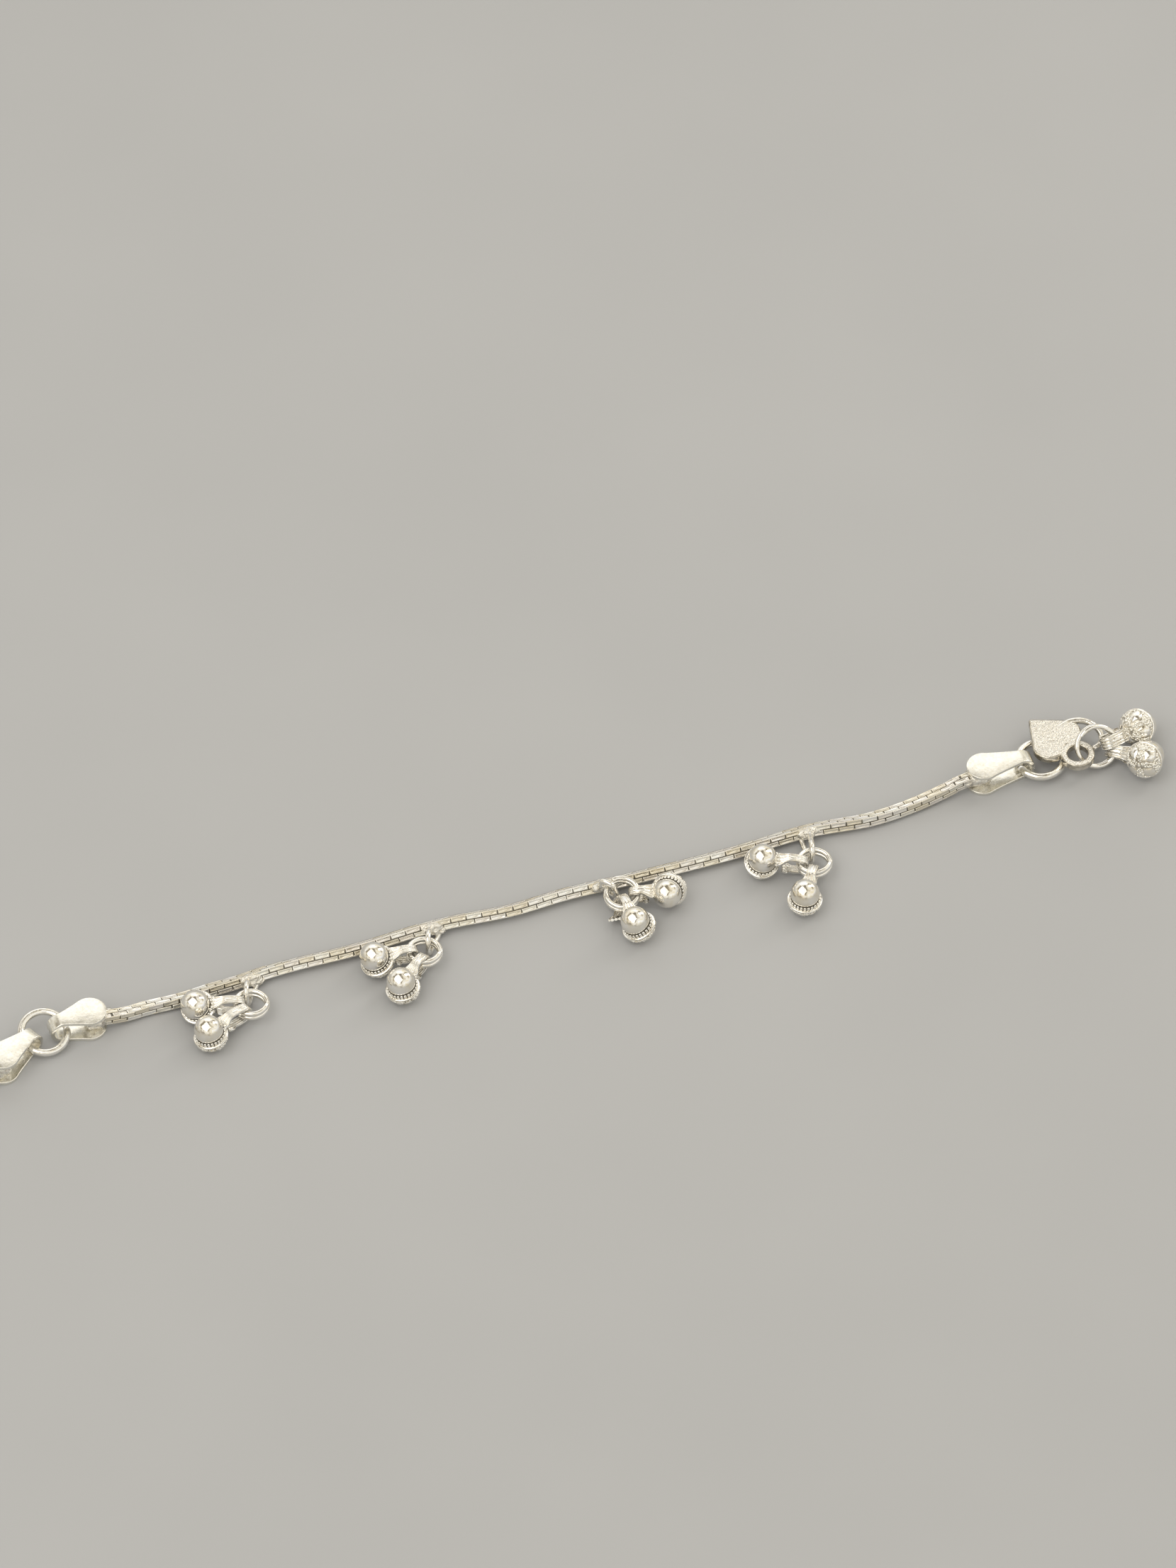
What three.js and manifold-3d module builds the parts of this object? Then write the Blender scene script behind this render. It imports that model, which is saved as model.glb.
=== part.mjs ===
// Silver anklet with jingle bells, laid out open on a flat surface.
// Millimetres, +Z up, +X along the anklet towards its clasp, origin under the middle of its box.
import * as THREE from "three";
import { mergeVertices } from "three/addons/utils/BufferGeometryUtils.js";
import Module from "manifold-3d";

const wasm = await Module();
wasm.setup();

// Square chain of staggered bricks
const CHAIN_WIDTH = 1.6;
const BRICK_PITCH = 2.25;
const BRICK_JOINT_DEPTH = 0.09;
const CHAIN_CHAMFER = 0.2;

// Large jump rings at the ends of the chain runs
const LINK_WIRE = 1.1;
const LINK_RADIUS = 3.2;

// End caps: a strip folded round a jump ring, with a round leaf on each side of the chain
const CAP_SHEET = 0.55;
const CAP_HEIGHT = 3.86;
const CAP_LEAF_RADIUS = 2.4;
const CAP_NECK_WIDTH = 2.2;

// Double-turn rings that carry the bells, and the wire bails that hold them
const CLUSTER_WIRE = 0.72;
const CLUSTER_RADIUS = 2.25;
const CLUSTER_PITCH = 0.76;
const CLUSTER_TURNS = 2;
const BAIL_WIRE = 0.8;

// Bells: dome above a toothed belt, rim and bowl, with a folded shank at the side
const DOME_RADIUS = 2.05;
const DOME_CENTRE = 0.62;
const BELT_RADIUS = 2.24;
const BELT_TOP = 0.15;
const RIM_RADIUS = 2.5;
const RIM_TOP = -0.6;
const RIM_HEIGHT = 0.3;
const BOWL_RADIUS = 2.4;
const BOWL_DEPTH = 1.85;
const SHANK_THICKNESS = 0.45;
const SHANK_FOLD_RADIUS = 1.18;
const SHANK_FOOT_HEIGHT = 0.5;
const SHANK_FOOT_WIDTH = 2.2;
const SHANK_WIDTH = 1.2;
const SHANK_TAPER_START = 2.3;
const SHANK_TAPER_END = 3.7;
const SHANK_FREE_END = 2.95;
const SHANK_SLACK = 0.05;
const SHANK_FOLD_DRIFT = 0.4;
const BELL_HEIGHT = 2.85;
const END_BELL_SIZE = 1.08;

// Clasp: heart plate with an eye, a staple below and a wire tongue
const HEART_THICKNESS = 1.2;
const HEART_BOTTOM = 1.95;
const HEART_LOBE_RADIUS = 2.3;
const HEART_LOBE_OFFSET = 1.7;
const HEART_TIP = 4.9;
const HEART_TIP_ROUND = 0.35;
const EYE_OFFSET = 3.9;
const EYE_RADIUS = 2.4;
const EYE_HOLE_RADIUS = 1.45;
const TONGUE_WIRE = 1.0;
const STAPLE_WIRE = 0.5;

// Coil through the clasp's eye
const COIL_WIRE = 0.72;
const COIL_RADIUS = 2.85;
const COIL_PITCH = 0.76;
const COIL_TURNS = 1.75;

const WIRE_SIDES = 6;
const ROUND_SIDES = 14;

// Where each piece lies. Angles are degrees; a heading is measured from +X towards +Y.
const FRONT_ROUTE = [
  // x, y, z, roll of the section about the chain
  { x: -74.6, y: -1.1, z: 1.93, roll: 0 },
  { x: -71.6, y: -1.3, z: 1.85, roll: 0 },
  { x: -69.0, y: -1.2, z: 1.35, roll: -5 },
  { x: -65.8, y: -0.9, z: 1.0, roll: -10 },
  { x: -60.9, y: -1.1, z: 1.02, roll: -20 },
  { x: -56.5, y: -0.9, z: 1.07, roll: -25 },
  { x: -52.2, y: -0.8, z: 1.1, roll: -28 },
  { x: -47.9, y: -0.5, z: 1.12, roll: -33 },
  { x: -43.5, y: -0.5, z: 1.14, roll: -40 },
  { x: -34.5, y: -0.8, z: 1.14, roll: -40 },
  { x: -24.5, y: -0.45, z: 1.14, roll: -40 },
  { x: -20.3, y: -0.6, z: 1.14, roll: -40 },
  { x: -11.9, y: -1.35, z: 1.14, roll: -40 },
  { x: -3.6, y: -1.15, z: 1.14, roll: -40 },
  { x: 6.9, y: -1.65, z: 1.14, roll: -40 },
  { x: 20.6, y: -1.95, z: 1.14, roll: -38 },
  { x: 32.3, y: -1.7, z: 1.12, roll: -30 },
  { x: 41.4, y: -2.6, z: 1.08, roll: -22 },
  { x: 47.5, y: -2.2, z: 1.05, roll: -12 },
  { x: 52.5, y: -1.45, z: 1.3, roll: -8 },
  { x: 55.6, y: -1.1, z: 1.85, roll: 0 },
  { x: 58.8, y: -0.95, z: 1.93, roll: 0 },
];
const BACK_ROUTE = [
  { x: -171.8, y: -12.0, z: 1.93, roll: 0 },
  { x: -168.6, y: -12.1, z: 1.85, roll: 0 },
  { x: -165.5, y: -12.2, z: 1.25, roll: 0 },
  { x: -161.0, y: -12.5, z: 0.9, roll: 0 },
  { x: -148.0, y: -13.0, z: 0.87, roll: 0 },
  { x: -134.0, y: -13.1, z: 0.87, roll: 0 },
  { x: -120.0, y: -12.5, z: 0.87, roll: 0 },
  { x: -107.0, y: -10.9, z: 0.87, roll: 0 },
  { x: -98.5, y: -8.8, z: 0.9, roll: 0 },
  { x: -94.3, y: -7.2, z: 1.25, roll: 0 },
  { x: -91.4, y: -5.9, z: 1.85, roll: 0 },
  { x: -88.6, y: -4.55, z: 1.93, roll: 0 },
];
const LINKS = {
  ring_clasp: { x: 67.6, y: -0.5, z: 1.33, tilt: 0 },
  ring_middle: { x: -80.9, y: -0.8, z: 1.75, tilt: 14 },
  ring_end: { x: -180.3, y: -12.0, z: 1.33, tilt: 0 },
};
// Caps sit on a ring at a heading from its centre, with their leaves pointing along their own heading
const CAPS = {
  right: { link: "ring_clasp", at: 187, heading: 179, play: 0.05, length: 7.9 },
  left: { link: "ring_middle", at: -3, heading: 1, play: -0.6, length: 6.5 },
  inner: { link: "ring_middle", at: 206, heading: 206, play: -0.1, length: 7.4 },
  outer: { link: "ring_end", at: 0, heading: 0, play: 0.04, length: 7.4 },
};
const CLUSTERS = [
  // each ring with its bail's root on the chain, and its bells, hung at an angle round the ring
  {
    ring: { x: -52.0, y: -5.9, z: 1.9, tilt: 0, start: 330 },
    bail: { x: -50.5, y: -0.75, at: 84, side: 1 },
    bells: {
      a: { x: -59.6, y: -4.3, at: 164, lean: 33, tip: -4, splay: 0, reach: 0 },
      b: { x: -59.4, y: -9.45, at: 214.5, lean: -9, tip: 17, splay: 0, reach: 0 },
    },
  },
  {
    ring: { x: -26.1, y: -5.1, z: 1.9, tilt: 0, start: 330 },
    bail: { x: -23.3, y: -0.5, at: 52, side: 1 },
    bells: {
      a: { x: -33.2, y: -4.6, at: 170, lean: 25, tip: 16, splay: 0, reach: 0 },
      b: { x: -31.3, y: -10.3, at: 238, lean: -11, tip: 13, splay: 0, reach: 0.05 },
    },
  },
  {
    ring: { x: 3.4, y: -4.7, z: 2.3, tilt: 10, start: 110 },
    bail: { x: 0.6, y: -1.4, at: 130, side: 1 },
    bells: {
      a: { x: 9.5, y: -6.9, at: -20, lean: -62, tip: -12, splay: 0, reach: 0 },
      b: { x: 3.4, y: -10.8, at: 266, lean: -22, tip: 6, splay: 2, reach: 1 },
    },
  },
  {
    ring: { x: 30.9, y: -8.1, z: 1.9, tilt: 0, start: 330 },
    bail: { x: 32.1, y: -1.75, at: 84, side: -1 },
    bells: {
      a: { x: 23.9, y: -5.9, at: 168, lean: 16, tip: 4, splay: 0, reach: 0 },
      b: { x: 27.3, y: -14.1, at: 244, lean: 2, tip: 10, splay: 0, reach: 0 },
    },
  },
];
const HEART = { x: 70.6, y: 0.9, heading: 118 };
const TONGUE_ROUTE = [
  // from the plate's edge, round and back under it
  { x: 71.4, y: 2.9, z: 2.6 },
  { x: 73.4, y: 3.5, z: 2.75 },
  { x: 75.2, y: 3.1, z: 2.75 },
  { x: 76.6, y: 2.0, z: 2.4 },
  { x: 77.2, y: 0.7, z: 1.6 },
  { x: 76.6, y: -0.3, z: 0.9 },
  { x: 75.4, y: -0.6, z: 0.65 },
];
const COIL = { x: 75.45, y: -2.05, z: 2.87, tilt: 48, start: 225 };
const END_BELLS = {
  a: { x: 82.4, y: -0.7, at: 8, lean: 153, tip: 50, splay: 0, reach: 0.9 },
  b: { x: 81.4, y: -6.4, at: -30, lean: 116, tip: -5, splay: 0.4, reach: 0 },
};

const CLUSTER_FORM = {
  radius: CLUSTER_RADIUS, diameter: CLUSTER_WIRE, pitch: CLUSTER_PITCH, turns: CLUSTER_TURNS,
};
const COIL_FORM = {
  radius: COIL_RADIUS, diameter: COIL_WIRE, pitch: COIL_PITCH, turns: COIL_TURNS,
};

const UP = new THREE.Vector3(0, 0, 1);
const vec = (x, y, z) => new THREE.Vector3(x, y, z);
const radians = THREE.MathUtils.degToRad;
const heading = (degrees) => vec(Math.cos(radians(degrees)), Math.sin(radians(degrees)), 0);

// Regular polygon outline of a round wire
function wireOutline(diameter, sides) {
  return Array.from({ length: sides }, (_, k) => {
    const angle = (2 * Math.PI * (k + 0.5)) / sides;
    return [(diameter / 2) * Math.cos(angle), (diameter / 2) * Math.sin(angle)];
  });
}

// Closed body swept through stations, each with a centre, two section axes and an outline
function sweep(stations, closed) {
  const sides = stations[0].outline.length;
  const positions = stations.flatMap(({ centre, side, up, outline }) =>
    outline.flatMap(([a, b]) =>
      centre.clone().addScaledVector(side, a).addScaledVector(up, b).toArray()));
  const index = [];
  const spans = closed ? stations.length : stations.length - 1;
  for (let i = 0; i < spans; i++) {
    const here = i * sides;
    const next = ((i + 1) % stations.length) * sides;
    for (let k = 0; k < sides; k++) {
      const m = (k + 1) % sides;
      index.push(here + k, here + m, next + m, here + k, next + m, next + k);
    }
  }
  if (!closed) {
    const last = (stations.length - 1) * sides;
    for (let k = 1; k < sides - 1; k++) {
      index.push(0, k + 1, k, last, last + k, last + k + 1);
    }
  }
  const geometry = new THREE.BufferGeometry();
  geometry.setAttribute("position", new THREE.Float32BufferAttribute(positions, 3));
  geometry.setIndex(index);
  return geometry;
}

// Round wire along points, its section carried along without twisting
function wire(points, diameter, closed, firstSide) {
  const outline = wireOutline(diameter, WIRE_SIDES);
  const count = points.length;
  let side = firstSide.clone();
  const stations = points.map((centre, i) => {
    const before = points[closed ? (i + count - 1) % count : Math.max(i - 1, 0)];
    const after = points[closed ? (i + 1) % count : Math.min(i + 1, count - 1)];
    const along = after.clone().sub(before).normalize();
    side = side.clone().addScaledVector(along, -side.dot(along)).normalize();
    return { centre, side, up: along.clone().cross(side), outline };
  });
  return sweep(stations, closed);
}

function smoothPath(rows, count) {
  const points = rows.map(({ x, y, z }) => vec(x, y, z));
  return new THREE.CatmullRomCurve3(points, false, "centripetal").getPoints(count);
}

function toSolid(geometry) {
  geometry.deleteAttribute("normal");
  geometry.deleteAttribute("uv");
  const merged = mergeVertices(geometry);
  const triangles = [];
  const index = merged.index.array;
  for (let i = 0; i < index.length; i += 3) {
    const [a, b, c] = [index[i], index[i + 1], index[i + 2]];
    if (a !== b && b !== c && c !== a) triangles.push(a, b, c);
  }
  return new wasm.Manifold(new wasm.Mesh({
    numProp: 3,
    vertProperties: new Float32Array(merged.attributes.position.array),
    triVerts: new Uint32Array(triangles),
  }));
}

function toGeometry(solid) {
  const mesh = solid.getMesh();
  const geometry = new THREE.BufferGeometry();
  geometry.setAttribute("position", new THREE.BufferAttribute(mesh.vertProperties, 3));
  geometry.setIndex(new THREE.BufferAttribute(mesh.triVerts, 1));
  return geometry;
}

const fuse = (solids) => solids.reduce((sum, solid) => sum.add(solid));

function ellipsoid(centre, radii) {
  const geometry = new THREE.SphereGeometry(1, 9, 6);
  geometry.scale(...radii);
  geometry.translate(...centre);
  return toSolid(geometry);
}

// Ring turned about the X axis by its tilt, which raises its far side
function tiltMatrix({ x, y, z, tilt }) {
  return new THREE.Matrix4().makeTranslation(x, y, z)
    .multiply(new THREE.Matrix4().makeRotationX(radians(tilt)));
}

function jumpRing(place) {
  const steps = 24;
  const points = Array.from({ length: steps }, (_, i) =>
    heading((360 * i) / steps).multiplyScalar(LINK_RADIUS));
  const geometry = wire(points, LINK_WIRE, true, UP);
  geometry.applyMatrix4(tiltMatrix(place));
  return geometry;
}

// Open coil of stacked turns
function coil(place, { radius, diameter, pitch, turns }) {
  const steps = Math.round(turns * 18);
  const points = Array.from({ length: steps + 1 }, (_, i) => {
    const turn = (turns * i) / steps;
    return heading(place.start + 360 * turn).multiplyScalar(radius).setZ(pitch * (turn - turns / 2));
  });
  const geometry = wire(points, diameter, false, UP);
  geometry.applyMatrix4(tiltMatrix(place));
  return geometry;
}

// Middle of the two strands that lie side by side at an angle round a coil
function bandPoint(place, { radius, pitch, turns }, at) {
  const turn = THREE.MathUtils.euclideanModulo(at - place.start, 360) / 360;
  const height = pitch * (turn + 0.5 - turns / 2);
  return heading(at).multiplyScalar(radius).setZ(height).applyMatrix4(tiltMatrix(place));
}

// Folded cap: side profile of the strip cut to its outline seen from above
function capSolid({ link, at, heading: leafHeading, play, length }) {
  const outer = CAP_HEIGHT / 2;
  const inner = outer - CAP_SHEET;
  const profile = new THREE.Shape();
  profile.moveTo(length, outer);
  profile.lineTo(0, outer);
  profile.absarc(0, 0, outer, Math.PI / 2, 1.5 * Math.PI, false);
  profile.lineTo(length, -outer);
  profile.lineTo(length, -inner);
  profile.lineTo(0, -inner);
  profile.absarc(0, 0, inner, 1.5 * Math.PI, Math.PI / 2, true);
  profile.lineTo(length, inner);
  const depth = 2 * CAP_LEAF_RADIUS + 1;
  const folded = new THREE.ExtrudeGeometry(profile, { depth, bevelEnabled: false, curveSegments: 7 });
  folded.translate(0, 0, -depth / 2);
  folded.rotateX(Math.PI / 2);

  const neck = CAP_NECK_WIDTH / 2;
  const shoulder = radians(115);
  const outline = new THREE.Shape();
  outline.moveTo(-outer - 1, -neck);
  outline.lineTo(0, -neck);
  outline.absarc(length - CAP_LEAF_RADIUS, 0, CAP_LEAF_RADIUS, -shoulder, shoulder, false);
  outline.lineTo(0, neck);
  outline.lineTo(-outer - 1, neck);
  const plan = new THREE.ExtrudeGeometry(outline, {
    depth: CAP_HEIGHT + 1, bevelEnabled: false, curveSegments: 8,
  });
  plan.translate(0, 0, -(CAP_HEIGHT + 1) / 2);

  const solder = ellipsoid([length - 1.6, 0, 0], [1.9, 1.7, inner + 0.1]);
  const ring = LINKS[link];
  const axis = vec(ring.x, ring.y, CAP_HEIGHT / 2).addScaledVector(heading(at), LINK_RADIUS + play);
  return fuse([toSolid(folded).intersect(toSolid(plan)), solder])
    .rotate([0, 0, leafHeading])
    .translate(axis.toArray());
}

// Chain bar whose eight rows of bricks step in at their joints, every other row half a pitch on
function chainSolid(route) {
  const points = route.map((row) => vec(row.x, row.y, row.z));
  const curve = new THREE.CatmullRomCurve3(points, false, "centripetal");
  curve.arcLengthDivisions = 40 * route.length;
  const steps = Math.round(curve.getLength() / (BRICK_PITCH / 2));
  const face = CHAIN_WIDTH / 2;
  const edge = face - CHAIN_CHAMFER;
  const corners = [
    [face, -edge], [face, edge], [edge, face], [-edge, face],
    [-face, edge], [-face, -edge], [-edge, -face], [edge, -face],
  ];
  const stations = Array.from({ length: steps + 1 }, (_, i) => {
    const centre = curve.getPointAt(i / steps);
    const along = curve.getTangentAt(i / steps);
    const after = route.findIndex((row, k) => k === route.length - 1 || row.x > centre.x);
    const [low, high] = [route[Math.max(after - 1, 0)], route[Math.max(after, 1)]];
    const share = THREE.MathUtils.clamp((centre.x - low.x) / (high.x - low.x), 0, 1);
    const roll = radians(THREE.MathUtils.lerp(low.roll, high.roll, share));
    const level = UP.clone().cross(along).normalize();
    const plumb = along.clone().cross(level);
    const side = level.clone().multiplyScalar(Math.cos(roll)).addScaledVector(plumb, Math.sin(roll));
    const up = along.clone().cross(side);
    const outline = corners.map(([a, b], k) => {
      const size = (i + k) % 2 ? 1 : 1 - BRICK_JOINT_DEPTH / face;
      return [a * size, b * size];
    });
    return { centre, side, up, outline };
  });
  return toSolid(sweep(stations, false));
}

// Bail: wire out along the surface under the ring, up inside it and back over it to the chain
function bailSolid({ bail, ring }) {
  const root = vec(bail.x, bail.y, 0);
  const band = bandPoint(ring, CLUSTER_FORM, bail.at);
  const out = band.clone().setZ(0).sub(root);
  const reach = out.length();
  out.normalize();
  const along = UP.clone().cross(out);
  const clear = CLUSTER_PITCH / 2 + CLUSTER_WIRE / 2 + BAIL_WIRE / 2 + 0.14;
  const low = band.z - clear;
  const shoulder = reach - CLUSTER_WIRE / 2 - BAIL_WIRE / 2;
  const turns = [
    // across the bail, out from the chain, height
    [-1.1, 0.2, 0.85],
    [-0.8, 0.45 * reach, low + 0.05],
    [-0.3, reach, low],
    [-0.15, reach + 0.95, low + 0.05],
    [0, reach + 1.4, low + 0.65],
    [0.1, reach + 1.15, band.z + 0.35],
    [0.15, reach + 0.75, band.z + 0.9 * clear],
    [0.2, reach, band.z + clear + 0.05],
    [0.2, shoulder - 0.15, band.z + 0.85 * clear],
    [0.25, Math.min(0.55 * reach, shoulder - 0.2), 0.5 * (band.z + clear) + 0.75],
    [0.3, Math.min(0.2, shoulder - 0.3), 1.5],
  ];
  const rows = turns.map(([across, away, z]) =>
    root.clone().addScaledVector(along, -bail.side * across).addScaledVector(out, away).setZ(z));
  const loop = toSolid(wire(smoothPath(rows, 17), BAIL_WIRE, false, along));
  const solder = ellipsoid([bail.x - 0.1, bail.y - 0.45, 1.45], [1.6, 0.8, 0.8]);
  return fuse([loop, solder]);
}

// Bell ball about its dome axis, +Z: bowl, rim, belt and dome
function ballSolid() {
  const profile = [[0, RIM_TOP - RIM_HEIGHT - BOWL_DEPTH]];
  for (const share of [0.32, 0.62, 0.85, 1]) {
    const depth = RIM_TOP - RIM_HEIGHT - BOWL_DEPTH * Math.sqrt(1 - Math.min(share, 0.985) ** 2);
    profile.push([BOWL_RADIUS * share, depth]);
  }
  profile.push([RIM_RADIUS, RIM_TOP - RIM_HEIGHT], [RIM_RADIUS, RIM_TOP]);
  profile.push([BELT_RADIUS, RIM_TOP + 0.06], [BELT_RADIUS, BELT_TOP]);
  for (const angle of [-13, 5, 25, 46, 68]) {
    const turn = radians(angle);
    profile.push([DOME_RADIUS * Math.cos(turn), DOME_CENTRE + DOME_RADIUS * Math.sin(turn)]);
  }
  profile.push([0, DOME_CENTRE + DOME_RADIUS]);
  const points = profile.map(([r, z]) => new THREE.Vector2(r, z));
  const geometry = new THREE.LatheGeometry(points, ROUND_SIDES);
  geometry.rotateX(Math.PI / 2);
  return toSolid(geometry);
}

// Shank: ribbed strip from the ball, folded round the ring's wire at the bend. Its other leg ends free
// beside the ball, moved sideways by the splay
function shankSolid(bendX, splay) {
  const rows = [
    { at: [1.3, SHANK_FOOT_HEIGHT], turn: 20, width: SHANK_FOOT_WIDTH, drift: 0 },
    { at: [SHANK_TAPER_START, SHANK_FOOT_HEIGHT], turn: -20, width: SHANK_FOOT_WIDTH, drift: 0 },
    { at: [SHANK_TAPER_END, SHANK_FOLD_RADIUS], turn: -20, width: SHANK_WIDTH, drift: 0 },
  ];
  const arcSteps = 6;
  for (let i = 0; i <= arcSteps; i++) {
    const turn = (180 * i) / arcSteps;
    const out = heading(90 - turn).multiplyScalar(SHANK_FOLD_RADIUS);
    const drift = (SHANK_FOLD_DRIFT * i) / arcSteps;
    rows.push({ at: [bendX + out.x, out.y], turn, width: SHANK_WIDTH, drift });
  }
  const freeLength = bendX - SHANK_FREE_END;
  for (const [share, width, height] of [
    // along the free leg, its width, its height below the fold's middle
    [0.45, SHANK_WIDTH, SHANK_FOLD_RADIUS],
    [0.75, SHANK_FOOT_WIDTH, SHANK_FOLD_RADIUS - 0.25],
    [1, SHANK_FOOT_WIDTH, SHANK_FOLD_RADIUS - 0.5],
  ]) {
    const drift = SHANK_FOLD_DRIFT + (1 - SHANK_FOLD_DRIFT) * share;
    rows.push({ at: [bendX - freeLength * share, -height], turn: 190, width, drift });
  }
  const stations = rows.map(({ at: [x, z], turn, width, drift }) => {
    const half = width / 2;
    const low = -SHANK_THICKNESS / 2;
    const outline = [
      [-half, low], [half, low], [half, 0], [0.4 * half, -low], [-0.4 * half, -low], [-half, 0],
    ];
    const out = heading(90 - turn);
    return { centre: vec(x, splay * drift, z), side: vec(0, 1, 0), up: vec(out.x, 0, out.y), outline };
  });
  return toSolid(sweep(stations, false));
}

// Bell lying on the surface: its shank is folded round its ring, its ball leans about the shank and
// tips away from the ring
function bellGeometry(bell, place, form, size = 1) {
  const target = bandPoint(place, form, bell.at);
  const centre = vec(bell.x, bell.y, BELL_HEIGHT);
  const along = target.clone().sub(centre).normalize();
  const tangent = heading(bell.at + 90).transformDirection(tiltMatrix(place));
  const across = tangent.addScaledVector(along, -tangent.dot(along)).normalize();
  if (along.clone().cross(across).z < 0) across.negate();
  const shankFrame = new THREE.Matrix4().makeBasis(along, across, along.clone().cross(across));
  const level = UP.clone().cross(along).normalize();
  const ballFrame = new THREE.Matrix4().makeBasis(along, level, along.clone().cross(level))
    .multiply(new THREE.Matrix4().makeRotationX(radians(bell.lean)))
    .multiply(new THREE.Matrix4().makeRotationY(radians(-bell.tip)))
    .scale(vec(size, size, size));
  const bendX = centre.distanceTo(target) + SHANK_SLACK + bell.reach;
  return toGeometry(fuse([
    ballSolid().transform(ballFrame.toArray()),
    shankSolid(bendX, bell.splay).transform(shankFrame.toArray()),
  ]).translate(centre.toArray()));
}

function heartSolid() {
  const bar = (geometry) => {
    geometry.translate(0, 0, HEART_BOTTOM);
    return toSolid(geometry);
  };
  const plate = (shape, curveSegments) => bar(new THREE.ExtrudeGeometry(shape, {
    depth: HEART_THICKNESS, bevelEnabled: false, curveSegments,
  }));
  const lobes = [-1, 1].map((sign) => {
    const lobe = new THREE.Shape();
    lobe.absarc(sign * HEART_LOBE_OFFSET, 0, HEART_LOBE_RADIUS, 0, 2 * Math.PI, false);
    return plate(lobe, 12);
  });
  // Sides run from the lobes to the rounded tip
  const slope = Math.atan2(HEART_TIP, HEART_LOBE_OFFSET);
  const lean = slope - Math.asin((HEART_LOBE_RADIUS - HEART_TIP_ROUND) / Math.hypot(HEART_TIP, HEART_LOBE_OFFSET));
  const sideAngle = Math.PI / 2 - lean;
  const point = new THREE.Shape();
  const flank = (sign, x, y, radius) =>
    [sign * (x + radius * Math.cos(sideAngle)), y + radius * Math.sin(sideAngle)];
  point.moveTo(-HEART_LOBE_OFFSET, 0);
  point.lineTo(HEART_LOBE_OFFSET, 0);
  point.lineTo(...flank(1, HEART_LOBE_OFFSET, 0, HEART_LOBE_RADIUS));
  point.absarc(0, HEART_TIP, HEART_TIP_ROUND, sideAngle, Math.PI - sideAngle, false);
  point.lineTo(...flank(-1, HEART_LOBE_OFFSET, 0, HEART_LOBE_RADIUS));
  const eye = new THREE.Shape();
  eye.absarc(0, -EYE_OFFSET, EYE_RADIUS, 0, 2 * Math.PI, false);
  const hole = new THREE.Shape();
  hole.absarc(0, -EYE_OFFSET, EYE_HOLE_RADIUS, 0, 2 * Math.PI, false);
  const drill = new THREE.ExtrudeGeometry(hole, {
    depth: 3 * HEART_THICKNESS, bevelEnabled: false, curveSegments: 8,
  });
  drill.translate(0, 0, -HEART_THICKNESS);
  const flat = fuse([...lobes, plate(point, 6), plate(eye, 12)]).subtract(bar(drill));
  return flat.rotate([0, 0, HEART.heading - 90]).translate([HEART.x, HEART.y, 0]);
}

// Staple under the plate, round the far side of the clasp's jump ring
function stapleSolid() {
  const ring = LINKS.ring_clasp;
  const out = heading(48);
  const middle = vec(ring.x, ring.y, ring.z).addScaledVector(out, LINK_RADIUS);
  const half = LINK_WIRE / 2 + STAPLE_WIRE / 2 + 0.14;
  const top = HEART_BOTTOM + 0.3 - ring.z;
  const rows = [[-half, top], [-half, -0.35], [-0.5 * half, -half], [0.5 * half, -half], [half, -0.35], [half, top]];
  const points = rows.map(([across, z]) => middle.clone().addScaledVector(out, across).add(vec(0, 0, z)));
  return toSolid(wire(points, STAPLE_WIRE, false, UP.clone().cross(out)));
}

function heartHook() {
  const tongue = toSolid(wire(smoothPath(TONGUE_ROUTE, 12), TONGUE_WIRE, false, UP));
  return toGeometry(fuse([heartSolid(), stapleSolid(), tongue]));
}

const SILVER = { color: 0xe9e4d6, roughness: 0.22, metalness: 1 };
const group = new THREE.Group();

function addPiece(name, geometry, finish = SILVER) {
  const mesh = new THREE.Mesh(geometry, new THREE.MeshStandardMaterial(finish));
  mesh.name = name;
  group.add(mesh);
}

const cap = (name) => capSolid(CAPS[name]);
addPiece("chain_front", toGeometry(fuse([
  chainSolid(FRONT_ROUTE), cap("left"), cap("right"), ...CLUSTERS.map(bailSolid),
])));
addPiece("chain_back", toGeometry(fuse([chainSolid(BACK_ROUTE), cap("inner"), cap("outer")])));
for (const [name, place] of Object.entries(LINKS)) {
  addPiece(name, jumpRing(place));
}
addPiece("heart_hook", heartHook(), { ...SILVER, roughness: 0.34 });
addPiece("coil_ring", coil(COIL, COIL_FORM));
for (const [letter, bell] of Object.entries(END_BELLS)) {
  addPiece(`bell_end_${letter}`, bellGeometry(bell, COIL, COIL_FORM, END_BELL_SIZE));
}
CLUSTERS.forEach(({ ring, bells }, i) => {
  const number = i + 1;
  addPiece(`cluster_ring_${number}`, coil(ring, CLUSTER_FORM));
  for (const [letter, bell] of Object.entries(bells)) {
    addPiece(`bell_${number}${letter}`, bellGeometry(bell, ring, CLUSTER_FORM));
  }
});

const box = new THREE.Box3().setFromObject(group);
const middle = box.getCenter(new THREE.Vector3());
group.position.set(-middle.x, -middle.y, -box.min.z);

export default group;
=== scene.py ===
# Silver anklet with jingle bells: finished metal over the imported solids.
# Shapes are worked in millimetres in the maker's layout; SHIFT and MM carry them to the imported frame.
import math

import bmesh
import bpy
from mathutils import Matrix, Vector, noise


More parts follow.
